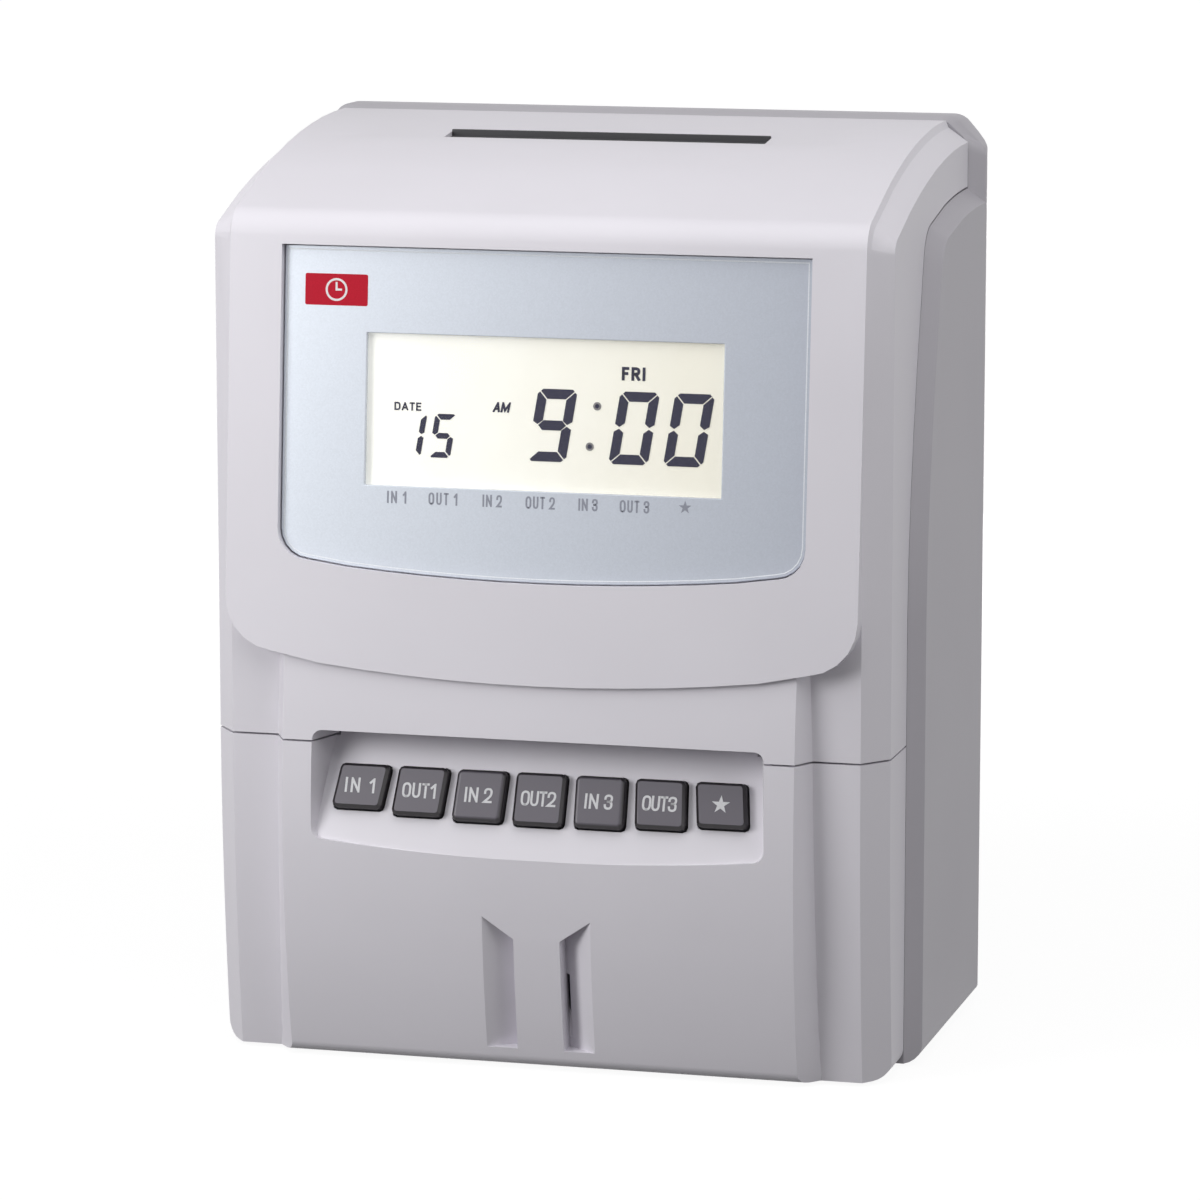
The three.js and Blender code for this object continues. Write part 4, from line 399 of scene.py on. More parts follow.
def metal(name, colour, rough, grain, stretch, depth, mottling=0.06):
    """Bare or plated metal: fine marks, drawn long along one axis, over mottling about 5 mm wide.

    The marks of rolls and tools are finer than 0.1 mm, so they are drawn coarser, to show at all.
    """
    material, tree, place = new_material(name)
    scaled = add_node(tree, "ShaderNodeMapping", {
        "Vector": place, "Scale": [1 / (grain * MM * longer) for longer in stretch]})
    lines = add_node(tree, "ShaderNodeTexNoise", {
        "Vector": scaled.outputs["Vector"], "Scale": 1.0, "Detail": 4.0, "Roughness": 0.6})
    patches = add_node(tree, "ShaderNodeTexVoronoi", {"Vector": place, "Scale": 1 / (5 * MM)})
    tone = add_node(tree, "ShaderNodeMapRange", {
        "Value": patches.outputs["Color"], "To Min": 1 - mottling, "To Max": 1 + mottling})
    body = add_node(tree, "ShaderNodeVectorMath", {
        0: colour, 1: tone.outputs["Result"]}, operation="MULTIPLY")
    skin = add_node(tree, "ShaderNodeMapRange", {
        "Value": lines.outputs["Fac"], "To Min": rough - 0.08, "To Max": rough + 0.1})
    bump = add_node(tree, "ShaderNodeBump", {
        "Height": lines.outputs["Fac"], "Strength": 0.4, "Distance": depth * MM})
    shader = add_node(tree, "ShaderNodeBsdfPrincipled", {
        "Base Color": body.outputs["Vector"], "Metallic": 1.0, "Roughness": skin.outputs["Result"],
        "Normal": bump.outputs["Normal"]})
    add_node(tree, "ShaderNodeOutputMaterial", {"Surface": shader.outputs["BSDF"]})
    return material


def sheet_steel():
    # Galvanised sheet, pressed: pale grey with faint zinc spangles of 5 mm and rolling lines
    return metal("galvanised_sheet_steel", linear("#BFC1C4"), 0.38, 0.3, (1, 1, 12), 0.01, mottling=0.1)


def motor_steel():
    # Drawn and nickel-plated can: smooth, darker and even
    return metal("nickel_plated_steel", linear("#A9ABAE"), 0.28, 0.25, (1, 1, 8), 0.004)


def screw_steel():
    # Turned and zinc-plated: bright, with fine turning marks
    return metal("zinc_plated_steel", linear("#C4C5C6"), 0.25, 0.2, (1, 1, 1), 0.006)


def brass():
    # Free-cutting brass, turned and hobbed: warm yellow with fine marks of the cutter
    return metal("turned_brass", linear("#CFAE62"), 0.25, 0.2, (1, 1, 1), 0.006)


def copper():
    # Enamelled copper wire of about 0.5 mm, wound in even layers: each turn is a round ridge, with painted
    # shade in the grooves.
    # The node's waves are pi / 10 long at a scale of one, which is close to 1 / pi
    material, tree, place = new_material("wound_enamelled_copper")
    turns = add_node(tree, "ShaderNodeTexWave", {
        "Vector": place, "Scale": 1 / (0.5 * MM) / math.pi, "Distortion": 0.4,
        "Detail": 1.0, "Detail Scale": 0.2}, bands_direction="Z")
    body = add_node(tree, "ShaderNodeValToRGB", {"Fac": turns.outputs["Fac"]})
    # Painted shade: the ramp darkens the grooves between turns and lightens the crests
    set_ramp(body, [(0.0, rgba(linear("#5B2C16"))), (0.6, rgba(linear("#B8703C")))])
    bump = add_node(tree, "ShaderNodeBump", {
        "Height": turns.outputs["Fac"], "Strength": 0.8, "Distance": 0.2 * MM})
    shader = add_node(tree, "ShaderNodeBsdfPrincipled", {
        "Base Color": body.outputs["Color"], "Metallic": 0.7, "Roughness": 0.35,
        "Coat Weight": 0.4, "Normal": bump.outputs["Normal"]})
    add_node(tree, "ShaderNodeOutputMaterial", {"Surface": shader.outputs["BSDF"]})
    return material


def pcb():
    # Glass-epoxy board under green solder mask: copper tracks about 1 mm wide show as paler lines
    material, tree, place = new_material("glass_epoxy_green_mask")
    tracks = add_node(tree, "ShaderNodeTexBrick", {
        "Vector": place, "Scale": 1.0, "Mortar Size": 0.35 * MM, "Mortar Smooth": 0.2,
        "Brick Width": 7.5 * MM, "Row Height": 2.5 * MM, "Color1": rgba(linear("#1E5A36")),
        "Color2": rgba(linear("#1A5030")), "Mortar": rgba(linear("#3C8A58"))}, offset=0.37)
    weave = add_node(tree, "ShaderNodeTexNoise", {"Vector": place, "Scale": 1 / (0.6 * MM)})
    bump = add_node(tree, "ShaderNodeBump", {
        "Height": tracks.outputs["Fac"], "Strength": 0.5, "Distance": 0.035 * MM})
    skin = add_node(tree, "ShaderNodeMapRange", {
        "Value": weave.outputs["Fac"], "To Min": 0.25, "To Max": 0.4})
    shader = add_node(tree, "ShaderNodeBsdfPrincipled", {
        "Base Color": tracks.outputs["Color"], "Roughness": skin.outputs["Result"], "IOR": 1.55,
        "Normal": bump.outputs["Normal"]})
    add_node(tree, "ShaderNodeOutputMaterial", {"Surface": shader.outputs["BSDF"]})
    return material


# The finish of each material slot in the record, and the rear case's darker copy as painted shade, which
# has no slot of its own
FINISHES = {
    "case_abs": case_abs, "rear_abs_painted_shade": rear_abs_painted_shade, "panel_silver": panel_silver,
    "window_clear": window_clear, "lcd": lcd, "key_grey": key_grey, "white_plastic": white_plastic,
    "dark_plastic": dark_plastic, "battery_wrap": battery_wrap, "pcb": pcb,
    "sheet_steel": sheet_steel, "motor_steel": motor_steel, "screw_steel": screw_steel,
    "brass": brass, "rubber": rubber, "copper": copper,
}
made_finishes = {}


def finish(name):
    """The material of one of the finishes, made when it is first asked for."""
    if name not in made_finishes:
        made_finishes[name] = FINISHES[name]()
    return made_finishes[name]


# Making and placing pieces

def new_object(name, data):
    """An object in the scene that holds a mesh, a lamp or a camera."""
    made = bpy.data.objects.new(name, data)
    bpy.context.scene.collection.objects.link(made)
    return made


def dress(names, edge=None, steps=2):
    """Gives CAD nodes their finish, and rounds their sharp edges by the size of that name."""
    for name in names:
        node = frame["nodes"][name]
        for holder in node.material_slots:
            holder.material = finish(holder.material.name)
        if edge is None:
            continue
        weld = node.modifiers.new("Joined corners", "WELD")
        weld.merge_threshold = WELD_DISTANCE
        flats = node.modifiers.new("Whole flats", "DECIMATE")
        flats.decimate_type = "DISSOLVE"
        flats.angle_limit = FLAT_ANGLE
        rounded = node.modifiers.new("Rounded edges", "BEVEL")
        rounded.limit_method = "ANGLE"
        rounded.angle_limit = EDGE_ANGLE
        rounded.width = getattr(settings()[0], edge)
        rounded.segments = steps
        rounded.face_strength_mode = "FSTR_ALL"
        shading = node.modifiers.new("Even shading", "WEIGHTED_NORMAL")
        shading.keep_sharp = False
        shading.use_face_influence = True


# A facet looks forwards when its normal leans less than 60 degrees from the front, and facets are in
# one plane when their normals and distances agree to these decimals
FORWARDS = -0.5
NORMAL_DECIMALS = 2
DISTANCE_DECIMALS = 5


def front_face(name):
    """A CAD node's largest flat that looks forwards: x runs right, y up the face and z out of it."""
    planes = {}
    for polygon in frame["nodes"][name].data.polygons:
        out = polygon.normal
        if out.y < FORWARDS:
            plane = [round(part, NORMAL_DECIMALS) for part in out]
            plane.append(round(polygon.center.dot(out), DISTANCE_DECIMALS))
            planes.setdefault(tuple(plane), []).append(polygon)
    flat = max(planes.values(), key=lambda facets: sum(facet.area for facet in facets))
    out = sum((facet.normal * facet.area for facet in flat), Vector()).normalized()
    right = UP.cross(out).normalized()
    up = out.cross(right)
    vertices = frame["nodes"][name].data.vertices
    corners = [vertices[index].co for facet in flat for index in facet.vertices]
    origin = Vector()
    for axis in (right, up, out):
        reaches = [corner.dot(axis) for corner in corners]
        origin += axis * ((min(reaches) + max(reaches)) / 2)
    return Matrix((
        (right.x, up.x, out.x, origin.x), (right.y, up.y, out.y, origin.y),
        (right.z, up.z, out.z, origin.z), (0, 0, 0, 1)))


# A facet is in a given plane when its normal and its distance agree this well
SAME_WAY = 0.99
SAME_LEVEL = 0.05 * MM


def front_outline(name, face):
    """The outer edge of a node's front face, in that face's own plane, anticlockwise."""
    sheet = bmesh.new()
    sheet.from_mesh(frame["nodes"][name].data)
    bmesh.ops.remove_doubles(sheet, verts=sheet.verts[:], dist=WELD_DISTANCE)
    out = face.col[2].xyz
    level = face.translation.dot(out)
    flats = []
    for facet in sheet.faces:
        height = facet.calc_center_median().dot(out)
        if facet.normal.dot(out) > SAME_WAY and abs(height - level) < SAME_LEVEL:
            flats.append(facet)
    inside = set(flats)
    following = {
        loop.vert: loop.link_loop_next.vert for facet in flats for loop in facet.loops
        if len(inside.intersection(loop.edge.link_faces)) == 1}
    to_face = face.inverted()
    longest = []
    while following:
        start, here = following.popitem()
        chain = [start]
        while here is not start:
            chain.append(here)
            here = following.pop(here)
        places = [to_face @ vertex.co for vertex in chain]
        longest = max(longest, places, key=lambda line: sum(
            (place - line[k - 1]).length for k, place in enumerate(line)))
    sheet.free()
    return longest


def inset(line, depth):
    """A closed line that runs anticlockwise, moved inwards by a depth."""
    moved = []
    for k, place in enumerate(line):
        ways = (place - line[k - 1], line[(k + 1) % len(line)] - place)
        across = [UP.cross(way).normalized() for way in ways]
        mitre = (across[0] + across[1]).normalized()
        moved.append(place + mitre * (depth / mitre.dot(across[0])))
    return moved


def window_face():
    """The window's front, moved back to the panel's front, its origin at the window's middle."""
    face = front_face("display_window")
    panel = front_face("display_panel")
    out = panel.col[2].xyz
    face.translation += out * (panel.translation - face.translation).dot(out)
    return face


def cell_face():
    """The front of the display cell, its origin behind the window's middle."""
    face = front_face("lcd_glass")
    window = front_face("display_window")
    out = face.col[2].xyz
    depth = (face.translation - window.translation).dot(out)
    face.translation = window.translation + out * depth
    return face


def flat_mesh(sheet):
    """Turns every face of a flat mesh up, and makes it a mesh of Blender's own."""
    sheet.normal_update()
    for face in sheet.faces:
        if face.normal.z < 0:
            face.normal_flip()
    mesh = bpy.data.meshes.new("flat")
    sheet.to_mesh(mesh)
    sheet.free()
    return mesh


# Points nearer than the first are one point, and a line has no stretch shorter than the second
SAME_POINT = 0.0001 * MM
SHORTEST_STRETCH = 0.001 * MM


def plate(outlines):
    """A flat mesh of outlines, each a list of points in metres."""
    sheet = bmesh.new()
    for points in outlines:
        sheet.faces.new([sheet.verts.new((x, y, 0)) for x, y in points])
    bmesh.ops.remove_doubles(sheet, verts=sheet.verts[:], dist=SAME_POINT)
    return flat_mesh(sheet)


# Letters as strokes in a box of one by one, each with its width as a share of its height; the third
# number of a point rounds that corner, also as a share of the height
GLYPHS = {
    "1": (0.37, (((0, 0.74), (1, 1), (1, 0)),)),
    "2": (0.58, (((0, 0.7), (0, 1, 0.24), (1, 1, 0.24), (1, 0.5, 0.2), (0, 0), (1, 0)),)),
    "3": (0.58, (
        ((0, 0.76), (0, 1, 0.24), (1, 1, 0.24), (1, 0.53, 0.2), (0.4, 0.53)),
        ((0.4, 0.53), (1, 0.53, 0.2), (1, 0, 0.24), (0, 0, 0.24), (0, 0.24)))),
    "A": (0.62, (((0, 0), (0.5, 1), (1, 0)), ((0.2, 0.28), (0.8, 0.28)))),
    "D": (0.58, (((0, 0.5), (0, 1), (1, 1, 0.3), (1, 0, 0.3), (0, 0), (0, 0.5)),)),
    "E": (0.5, (((1, 0), (0, 0), (0, 1), (1, 1)), ((0, 0.52), (0.85, 0.52)))),
    "F": (0.48, (((0, 0), (0, 1), (1, 1)), ((0, 0.52), (0.8, 0.52)))),
    "I": (0, (((0, 0), (0, 1)),)),
    "M": (0.76, (((0, 0), (0, 1), (0.5, 0.12), (1, 1), (1, 0)),)),
    "N": (0.62, (((0, 0), (0, 1), (1, 0), (1, 1)),)),
    "O": (0.6, (((0.5, 0), (1, 0, 0.3), (1, 1, 0.3), (0, 1, 0.3), (0, 0, 0.3), (0.5, 0)),)),
    "R": (0.58, (((0, 0), (0, 1), (1, 1, 0.22), (1, 0.48, 0.22), (0, 0.48)), ((0.5, 0.48), (1, 0)))),
    "T": (0.5, (((0, 1), (1, 1)), ((0.5, 0), (0.5, 1)))),
    "U": (0.56, (((0, 1), (0, 0, 0.28), (1, 0, 0.28), (1, 1)),)),
}
WORD_GAP_IN_LETTER_GAPS = 2.6
CORNER_STEPS = 6
# The least cosine that a mitre is worked out with, so that a sharp corner doesn't run out far
SHARPEST_MITRE = 0.2


def rounded_line(points):
    """A line of (place, radius) pairs as places, with its corners rounded."""
    line = []
    for k, (corner, radius) in enumerate(points):
        if not radius or k in (0, len(points) - 1):
            line.append(corner)
            continue
        ends = []
        for other, other_radius in (points[k - 1], points[k + 1]):
            room = (other - corner).length * (0.5 if other_radius else 1)
            ends.append(corner + (other - corner).normalized() * min(radius, room))
        for step in range(CORNER_STEPS + 1):
            far = step / CORNER_STEPS
            near = 1 - far
            line.append(ends[0] * near ** 2 + corner * 2 * far * near + ends[1] * far ** 2)
    return [
        place for k, place in enumerate(line)
        if not k or (place - line[k - 1]).length > SHORTEST_STRETCH]


def add_stroke(sheet, line, width):
    """Adds a line to a flat mesh as a band with mitred corners and square ends."""
    line = list(line)
    line[0] = line[0] + (line[0] - line[1]).normalized() * width / 2
    line[-1] = line[-1] + (line[-1] - line[-2]).normalized() * width / 2
    sides = []
    for k, place in enumerate(line):
        ways = [line[j + 1] - line[j] for j in (k - 1, k) if 0 <= j < len(line) - 1]
        across = [UP.cross(way).normalized() for way in ways]
        mitre = sum(across, Vector()).normalized()
        reach = mitre * (width / 2 / max(SHARPEST_MITRE, mitre.dot(across[0])))
        sides.append((sheet.verts.new(place + reach), sheet.verts.new(place - reach)))
    for (left, right), (next_left, next_right) in zip(sides, sides[1:]):
        sheet.faces.new((left, right, next_right, next_left))


def words(text, height, width, stroke, breadth=1.0, slant=0.0):
    """Text as a flat mesh of the given height, overall width and stroke, its middle at the origin."""
    breadths = {letter: max(stroke, GLYPHS[letter][0] * height * breadth) for letter in set(text) - {" "}}
    gaps = []
    for before in text[:-1]:
        if before == " ":
            gaps[-1] = WORD_GAP_IN_LETTER_GAPS
        else:
            gaps.append(1)
    free = width - sum(breadths[letter] for letter in text if letter != " ")
    gap = free / sum(gaps)
    gaps.append(0)
    sheet = bmesh.new()
    start = -width / 2
    for letter, wide in zip(text.replace(" ", ""), gaps):
        for line in GLYPHS[letter][1]:
            points = []
            for across, up, *corner in line:
                x = start + stroke / 2 + (breadths[letter] - stroke) * across
                y = stroke / 2 + (height - stroke) * up
                points.append((Vector((x, y, 0)), corner[0] * height if corner else 0))
            add_stroke(sheet, rounded_line(points), stroke)
        start += breadths[letter] + wide * gap
    for level, side in ((0, -1), (height, 1)):
        bmesh.ops.bisect_plane(
            sheet, geom=sheet.verts[:] + sheet.edges[:] + sheet.faces[:],
            plane_co=(0, level, 0), plane_no=(0, side, 0), clear_outer=True)
    for vertex in sheet.verts:
        vertex.co.y -= height / 2
        vertex.co.x += vertex.co.y * slant
    return flat_mesh(sheet)


def print_piece(name, mesh, face, x, y, material, body, lift=0.0):
    """Lays a flat mesh on a face as a thin printed piece that rides on a body."""
    mesh.transform(face @ Matrix.Translation((x, y, lift)))
    mesh.materials.append(material)
    piece = new_object(name, mesh)
    thick = piece.modifiers.new("Ink", "SOLIDIFY")
    thick.thickness = settings()[0].ink
    thick.offset = 1
    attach(piece, body)


def on_circle(radius, turn):
    return radius * math.cos(turn), radius * math.sin(turn)


def ring(radius, width, steps=40):
    """A flat ring around the origin, in steps."""
    inner = radius - width
    outlines = []
    for k in range(steps):
        start, end = (2 * math.pi * j / steps for j in (k, k + 1))
        outlines.append([
            on_circle(reach, turn) for reach, turn in (
                (inner, start), (radius, start), (radius, end), (inner, end))])
    return outlines


def disc(radius, steps=28):
    """A disc around the origin."""
    return [[on_circle(radius, 2 * math.pi * k / steps) for k in range(steps)]]


def star(radius):
    """A five-pointed star around the origin, point up."""
    inner = radius * math.cos(math.radians(72)) / math.cos(math.radians(36))
    points = [on_circle(inner if k % 2 else radius, math.radians(90 + 36 * k)) for k in range(10)]
    return [[(0, 0), points[k], points[(k + 1) % 10]] for k in range(10)]


def rounded_rectangle(width, height, radius, steps=5):
    """A rectangle around the origin, with each corner rounded in steps."""
    points = []
    for right, up, start in ((1, -1, -90), (1, 1, 0), (-1, 1, 90), (-1, -1, 180)):
        for k in range(steps + 1):
            x, y = on_circle(radius, math.radians(start + 90 * k / steps))
            points.append((right * (width / 2 - radius) + x, up * (height / 2 - radius) + y))
    return [points]


# Which of the seven segments each digit lights: top, upper right, lower right, bottom,
# lower left, upper left, middle
LIT = {"0": "abcdef", "1": "bc", "5": "acdfg", "9": "abcdfg"}
DIGIT_SLANT = math.tan(math.radians(8.8))
# Shares of a segment's width: the cut of a digit's corners, and how far the middle end of an upright
# stays off the middle at its outer and its inner side
CORNER_SHARE = 0.42
OUTER_END_SHARE = 0.3
INNER_END_SHARE = 0.4


def segment_digit(digit, width, height, stroke, gap):
    """One seven-segment digit as outlines, its lower left corner at the origin, leaning right."""
    corner = stroke * CORNER_SHARE
    middle = height / 2
    top = [
        (corner + gap, height), (width - corner - gap, height),
        (width - corner / 2 - gap, height - corner / 2), (width - stroke - gap, height - stroke),
        (stroke + gap, height - stroke), (corner / 2 + gap, height - corner / 2)]
    right = [
        (width - corner / 2, height - corner / 2 - gap), (width, height - corner - gap),
        (width, middle + stroke * OUTER_END_SHARE + gap), (width - stroke / 2, middle + gap),
        (width - stroke, middle + stroke * INNER_END_SHARE + gap),
        (width - stroke, height - stroke - gap)]
    bar = [
        (stroke / 2 + gap, middle), (stroke + gap, middle + stroke / 2),
        (width - stroke - gap, middle + stroke / 2), (width - stroke / 2 - gap, middle),
        (width - stroke - gap, middle - stroke / 2), (stroke + gap, middle - stroke / 2)]
    shapes = {
        "a": top, "b": right, "g": bar,
        "d": [(x, height - y) for x, y in top], "c": [(x, height - y) for x, y in right],
        "f": [(width - x, y) for x, y in right],
        "e": [(width - x, height - y) for x, y in right]}
    return [[(x + y * DIGIT_SLANT, y) for x, y in shapes[key]] for key in LIT[digit]]


# Places and sizes of the words and marks, in millimetres from the middle of the display window.
# A digit's place is its lower left corner
TIME_DIGITS = ((-4.5, "9"), (16.8, "0"), (30.95, "0"))
TIME_BASE = -11.75
COLON = ((13.66, 2.6), (11.92, -7.6))
COLON_RADIUS = 1.05
COLON_CORE = 0.62
COLON_PLAY = 0.02
DATE_DIGITS = ((-38.1, "1"), (-30.3, "5"))
DATE_BASE = -11.8
# How far the digits and words of the display lie in front of its cell
CELL_LIFT = 0.08
# Text, place across and up, height, width, stroke, breadth of the letters and slant
DISPLAY_WORDS = (
    ("DATE", -35.9, 0.9, 2.1, 7.1, 0.4, 1.3, 0), ("AM", -11.2, 1.5, 2.6, 4.3, 0.55, 1.15, 0.2),
    ("FRI", 22.9, 11.0, 3.4, 6.1, 0.75, 1.15, 0))
# Text, place across and width
COLUMN_NAMES = (
    ("IN 1", -37.9, 5.1), ("OUT 1", -25.7, 7.6), ("IN 2", -12.75, 5.1), ("OUT 2", -0.2, 7.65),
    ("IN 3", 12.25, 5.0), ("OUT 3", 24.3, 7.65))
COLUMN_STROKE = 0.46
COLUMN_BREADTH = 0.82
COLUMN_LINE = -22.1
# Place across and up, and radius
COLUMN_STAR = (37.35, -21.8, 1.75)
# Place across and up, width, height and corner radius
LABEL = (-54.75, 29.9, 16.6, 8.0, 0.5)
# The clock face on the label: half the width of a hand, and the hands' lengths as shares of the radius
DIAL_RADIUS = 2.9
DIAL_RING = 0.55
HAND_HALF = 0.26
UPRIGHT_HAND_SHARE = 0.66
LEVEL_HAND_SHARE = 0.5
# The pale line inside the panel's edge, a painted highlight
RIM_INSET = 0.75
RIM_WIDTH = 0.3
# Node, text and width
KEY_WORDS = (
    ("key_in_1", "IN 1", 7.9), ("key_out_1", "OUT1", 8.9), ("key_in_2", "IN 2", 7.3),
    ("key_out_2", "OUT2", 9.2), ("key_in_3", "IN 3", 7.3), ("key_out_3", "OUT3", 9.0))
KEY_STAR_RADIUS = 2.45
KEY_WORD_STROKE = 0.58

# The dark lip behind the card slot, whose near-black is also painted shade for the slot's depth, in
# millimetres:
# half the slot's length, and the lip's thickness, foot, edge radius, how far it stands proud and how far
# it stays off the ledge
SLOT_HALF = 43.0
LIP_THICKNESS = 0.8
LIP_FOOT = 2.6
LIP_EDGE = 0.15
LIP_STAND = 0.5
LIP_PLAY = 0.1
# The ledge's corners lie no deeper than this under the slot's top, and within this of one line
LEDGE_DEPTH = 10.0
ON_LINE = 0.01


def make_slot_shade_lip():
    """The lip behind the card slot: it guides the card and stands a little proud, and its near-black is
    painted shade.
    """
    cover = frame["nodes"]["top_cover"].data
    half = SLOT_HALF * MM
    corners = [
        vertex.co for vertex in cover.vertices if abs(abs(vertex.co.x) - half) < ON_LINE * MM]
    top = max(corner.z for corner in corners)
    corners = [corner for corner in corners if corner.z > top - LEDGE_DEPTH * MM]
    back = max(corner.y for corner in corners)
    rear = [corner.z for corner in corners if corner.y > back - ON_LINE * MM]
    play = LIP_PLAY * MM
    low = min(rear) + play
    high = max(rear) + LIP_STAND * MM
    back -= play
    thick = LIP_THICKNESS * MM
    foot = LIP_FOOT * MM
    outline = [
        (back, low), (back, high), (back - thick, high), (back - thick, low + thick),
        (back - foot, low + thick), (back - foot, low)]
    shape = bmesh.new()
    left, right = ([shape.verts.new((x, y, z)) for y, z in outline] for x in (play - half, half - play))
    shape.faces.new(left)
    shape.faces.new(right)
    for k, vertex in enumerate(left):
        shape.faces.new((vertex, left[k - 1], right[k - 1], right[k]))
    bmesh.ops.recalc_face_normals(shape, faces=shape.faces[:])
    mesh = bpy.data.meshes.new("slot_lip")
    shape.to_mesh(mesh)
    shape.free()
    # Near-black plastic, as painted shade down in the slot
    mesh.materials.append(finish("dark_plastic"))
    piece = new_object("slot_lip", mesh)
    rounded = piece.modifiers.new("Rounded edges", "BEVEL")
    rounded.width = LIP_EDGE * MM
    rounded.segments = 2
    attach(piece, "case")


# What is printed on the panel

def print_on_panel(name, mesh, ink, face, x=0.0, y=0.0, lift=0.0):
    print_piece(name, mesh, face, x, y, ink, "case", lift)


def print_column_names():
    """The names of the card's columns under the window, and a star for the last one."""
    sizes, colours, _ = settings()
    face = window_face()
    grey = printed_ink("screen_ink_grey", colours.panel_ink)
    for text, x, width in COLUMN_NAMES:
        mesh = words(text, sizes.legend_height, width * MM, COLUMN_STROKE * MM, COLUMN_BREADTH)
        name = "column_name_" + text.replace(" ", "_").lower()
        print_on_panel(name, mesh, grey, face, x * MM, COLUMN_LINE * MM)
    x, y, radius = (size * MM for size in COLUMN_STAR)
    print_on_panel("column_name_star", plate(star(radius)), grey, face, x, y)


def print_rim_highlight():
    """A pale line that follows the panel's edge, as a painted highlight."""
    face = front_face("display_panel")
    outline = front_outline("display_panel", face)
    outer, inner = (
        [place.xy for place in inset(outline, depth * MM)]
        for depth in (RIM_INSET, RIM_INSET + RIM_WIDTH))
    bands = [[outer[k - 1], outer[k], inner[k], inner[k - 1]] for k in range(len(outer))]
    # Painted highlight: a pale line along the panel's edge
    pale = printed_ink("screen_ink_rim", linear("#E4E8EC"))
    print_on_panel("panel_rim", plate(bands), pale, face)


def print_label():
    """A red label with a plain clock face, its hands at three o'clock."""
    sizes, colours, _ = settings()
    face = window_face()
    x, y, width, height, corner = (size * MM for size in LABEL)
    red = printed_ink("screen_ink_red", colours.accent, 0.35, ior=1.15)
    pale = printed_ink("screen_ink_pale", linear("#E6E2E4"))
    label = plate(rounded_rectangle(width, height, corner))
    print_on_panel("panel_label", label, red, face, x, y)
    dial = DIAL_RADIUS * MM
    half = HAND_HALF * MM
    top = dial * UPRIGHT_HAND_SHARE
    end = dial * LEVEL_HAND_SHARE
    outlines = ring(dial, DIAL_RING * MM)
    outlines.append([(-half, -half), (half, -half), (half, top), (-half, top)])
    print_on_panel("label_dial", plate(outlines), pale, face, x, y, sizes.ink)
    hand = plate([[(half, -half), (end, -half), (end, half), (half, half)]])
    print_on_panel("label_hand", hand, pale, face, x, y, sizes.ink)


# Stage, in metres

FLOOR_HALF = 9.0
FLOOR_PLAY = 0.02 * MM
# How far from the clock's middle its soft shadow still shows, and the floor's own light there
SHADOW_REACH = 0.25
SHADOW_GLOW = 0.93
# Each lamp's place and the width of its square, and the height that they look at
LAMPS = {
    "key": ((-0.45, -0.5, 0.3), 0.3), "top": ((0.0, -0.25, 0.6), 0.6),
    "side": ((1.0, -0.2, 0.5), 1.0), "back": ((-0.1, 0.9, 0.12), 0.2)}
LAMP_AIM = 0.12
CAMERA_PLACE = (0.36547, -1.353, 0.35094)
CAMERA_RANGE = (0.05, 50)


def seen_paths(tree):
    """One where a ray comes straight from the camera, a mirror or a glass."""
    path = add_node(tree, "ShaderNodeLightPath")
    shiny = add_node(tree, "ShaderNodeMath", {
        0: path.outputs["Is Glossy Ray"], 1: path.outputs["Is Transmission Ray"]}, operation="MAXIMUM")
    return add_node(tree, "ShaderNodeMath", {
        0: path.outputs["Is Camera Ray"], 1: shiny.outputs["Value"]}, operation="MAXIMUM").outputs["Value"]


def lay_floor():
    """A white floor that keeps the clock's soft shadow."""
    far = FLOOR_HALF
    floor = new_object("floor", plate([[(-far, -far), (far, -far), (far, far), (-far, far)]]))
    floor.location.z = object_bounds()[0].z - FLOOR_PLAY
    # Matt painted board: white to the eye. Its grey takes the shadow, and its own light makes it white
    material, tree, place = new_material("painted_board_white")
    matt = add_node(tree, "ShaderNodeBsdfDiffuse", {"Color": rgba(linear("#5E5E5E"))})
    away = add_node(tree, "ShaderNodeVectorMath", {0: place}, operation="LENGTH")
    white = add_node(tree, "ShaderNodeMapRange", {
        "Value": away.outputs["Value"], "From Min": SHADOW_REACH, "From Max": 4 * SHADOW_REACH,
        "To Min": SHADOW_GLOW, "To Max": 1.0})
    strength = add_node(tree, "ShaderNodeMath", {
        0: seen_paths(tree), 1: white.outputs["Result"]}, operation="MULTIPLY")
    glow = add_node(tree, "ShaderNodeEmission", {
        "Color": (1, 1, 1, 1), "Strength": strength.outputs["Value"]})
    both = add_node(tree, "ShaderNodeAddShader", {
        0: matt.outputs["BSDF"], 1: glow.outputs["Emission"]})
    add_node(tree, "ShaderNodeOutputMaterial", {"Surface": both.outputs["Shader"]})
    floor.data.materials.append(material)
    floor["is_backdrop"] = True


def light_room(light):
    """Even light all round: white to the camera, and faint on the clock."""
    world = bpy.data.worlds.new("soft_room")
    bpy.context.scene.world = world
    world.use_nodes = True
    tree = world.node_tree
    tree.nodes.clear()
    strength = add_node(tree, "ShaderNodeMapRange", {
        "Value": seen_paths(tree), "To Min": light.room, "To Max": 1.0})
    ground = add_node(tree, "ShaderNodeBackground", {
        "Color": (1, 1, 1, 1), "Strength": strength.outputs["Result"]})
    add_node(tree, "ShaderNodeOutputWorld", {"Surface": ground.outputs["Background"]})


def aim_lamp(name, place, size, power):
    """A square soft lamp that looks at the clock's middle."""
    lamp = bpy.data.lights.new(name, "AREA")
    lamp.shape = "SQUARE"
    lamp.size = size
    lamp.energy = power
    holder = new_object(name, lamp)
    holder.location = place
    aim = Vector((0, 0, LAMP_AIM)) - holder.location
    holder.rotation_mode = "QUATERNION"
    holder.rotation_quaternion = aim.to_track_quat("-Z", "Y")


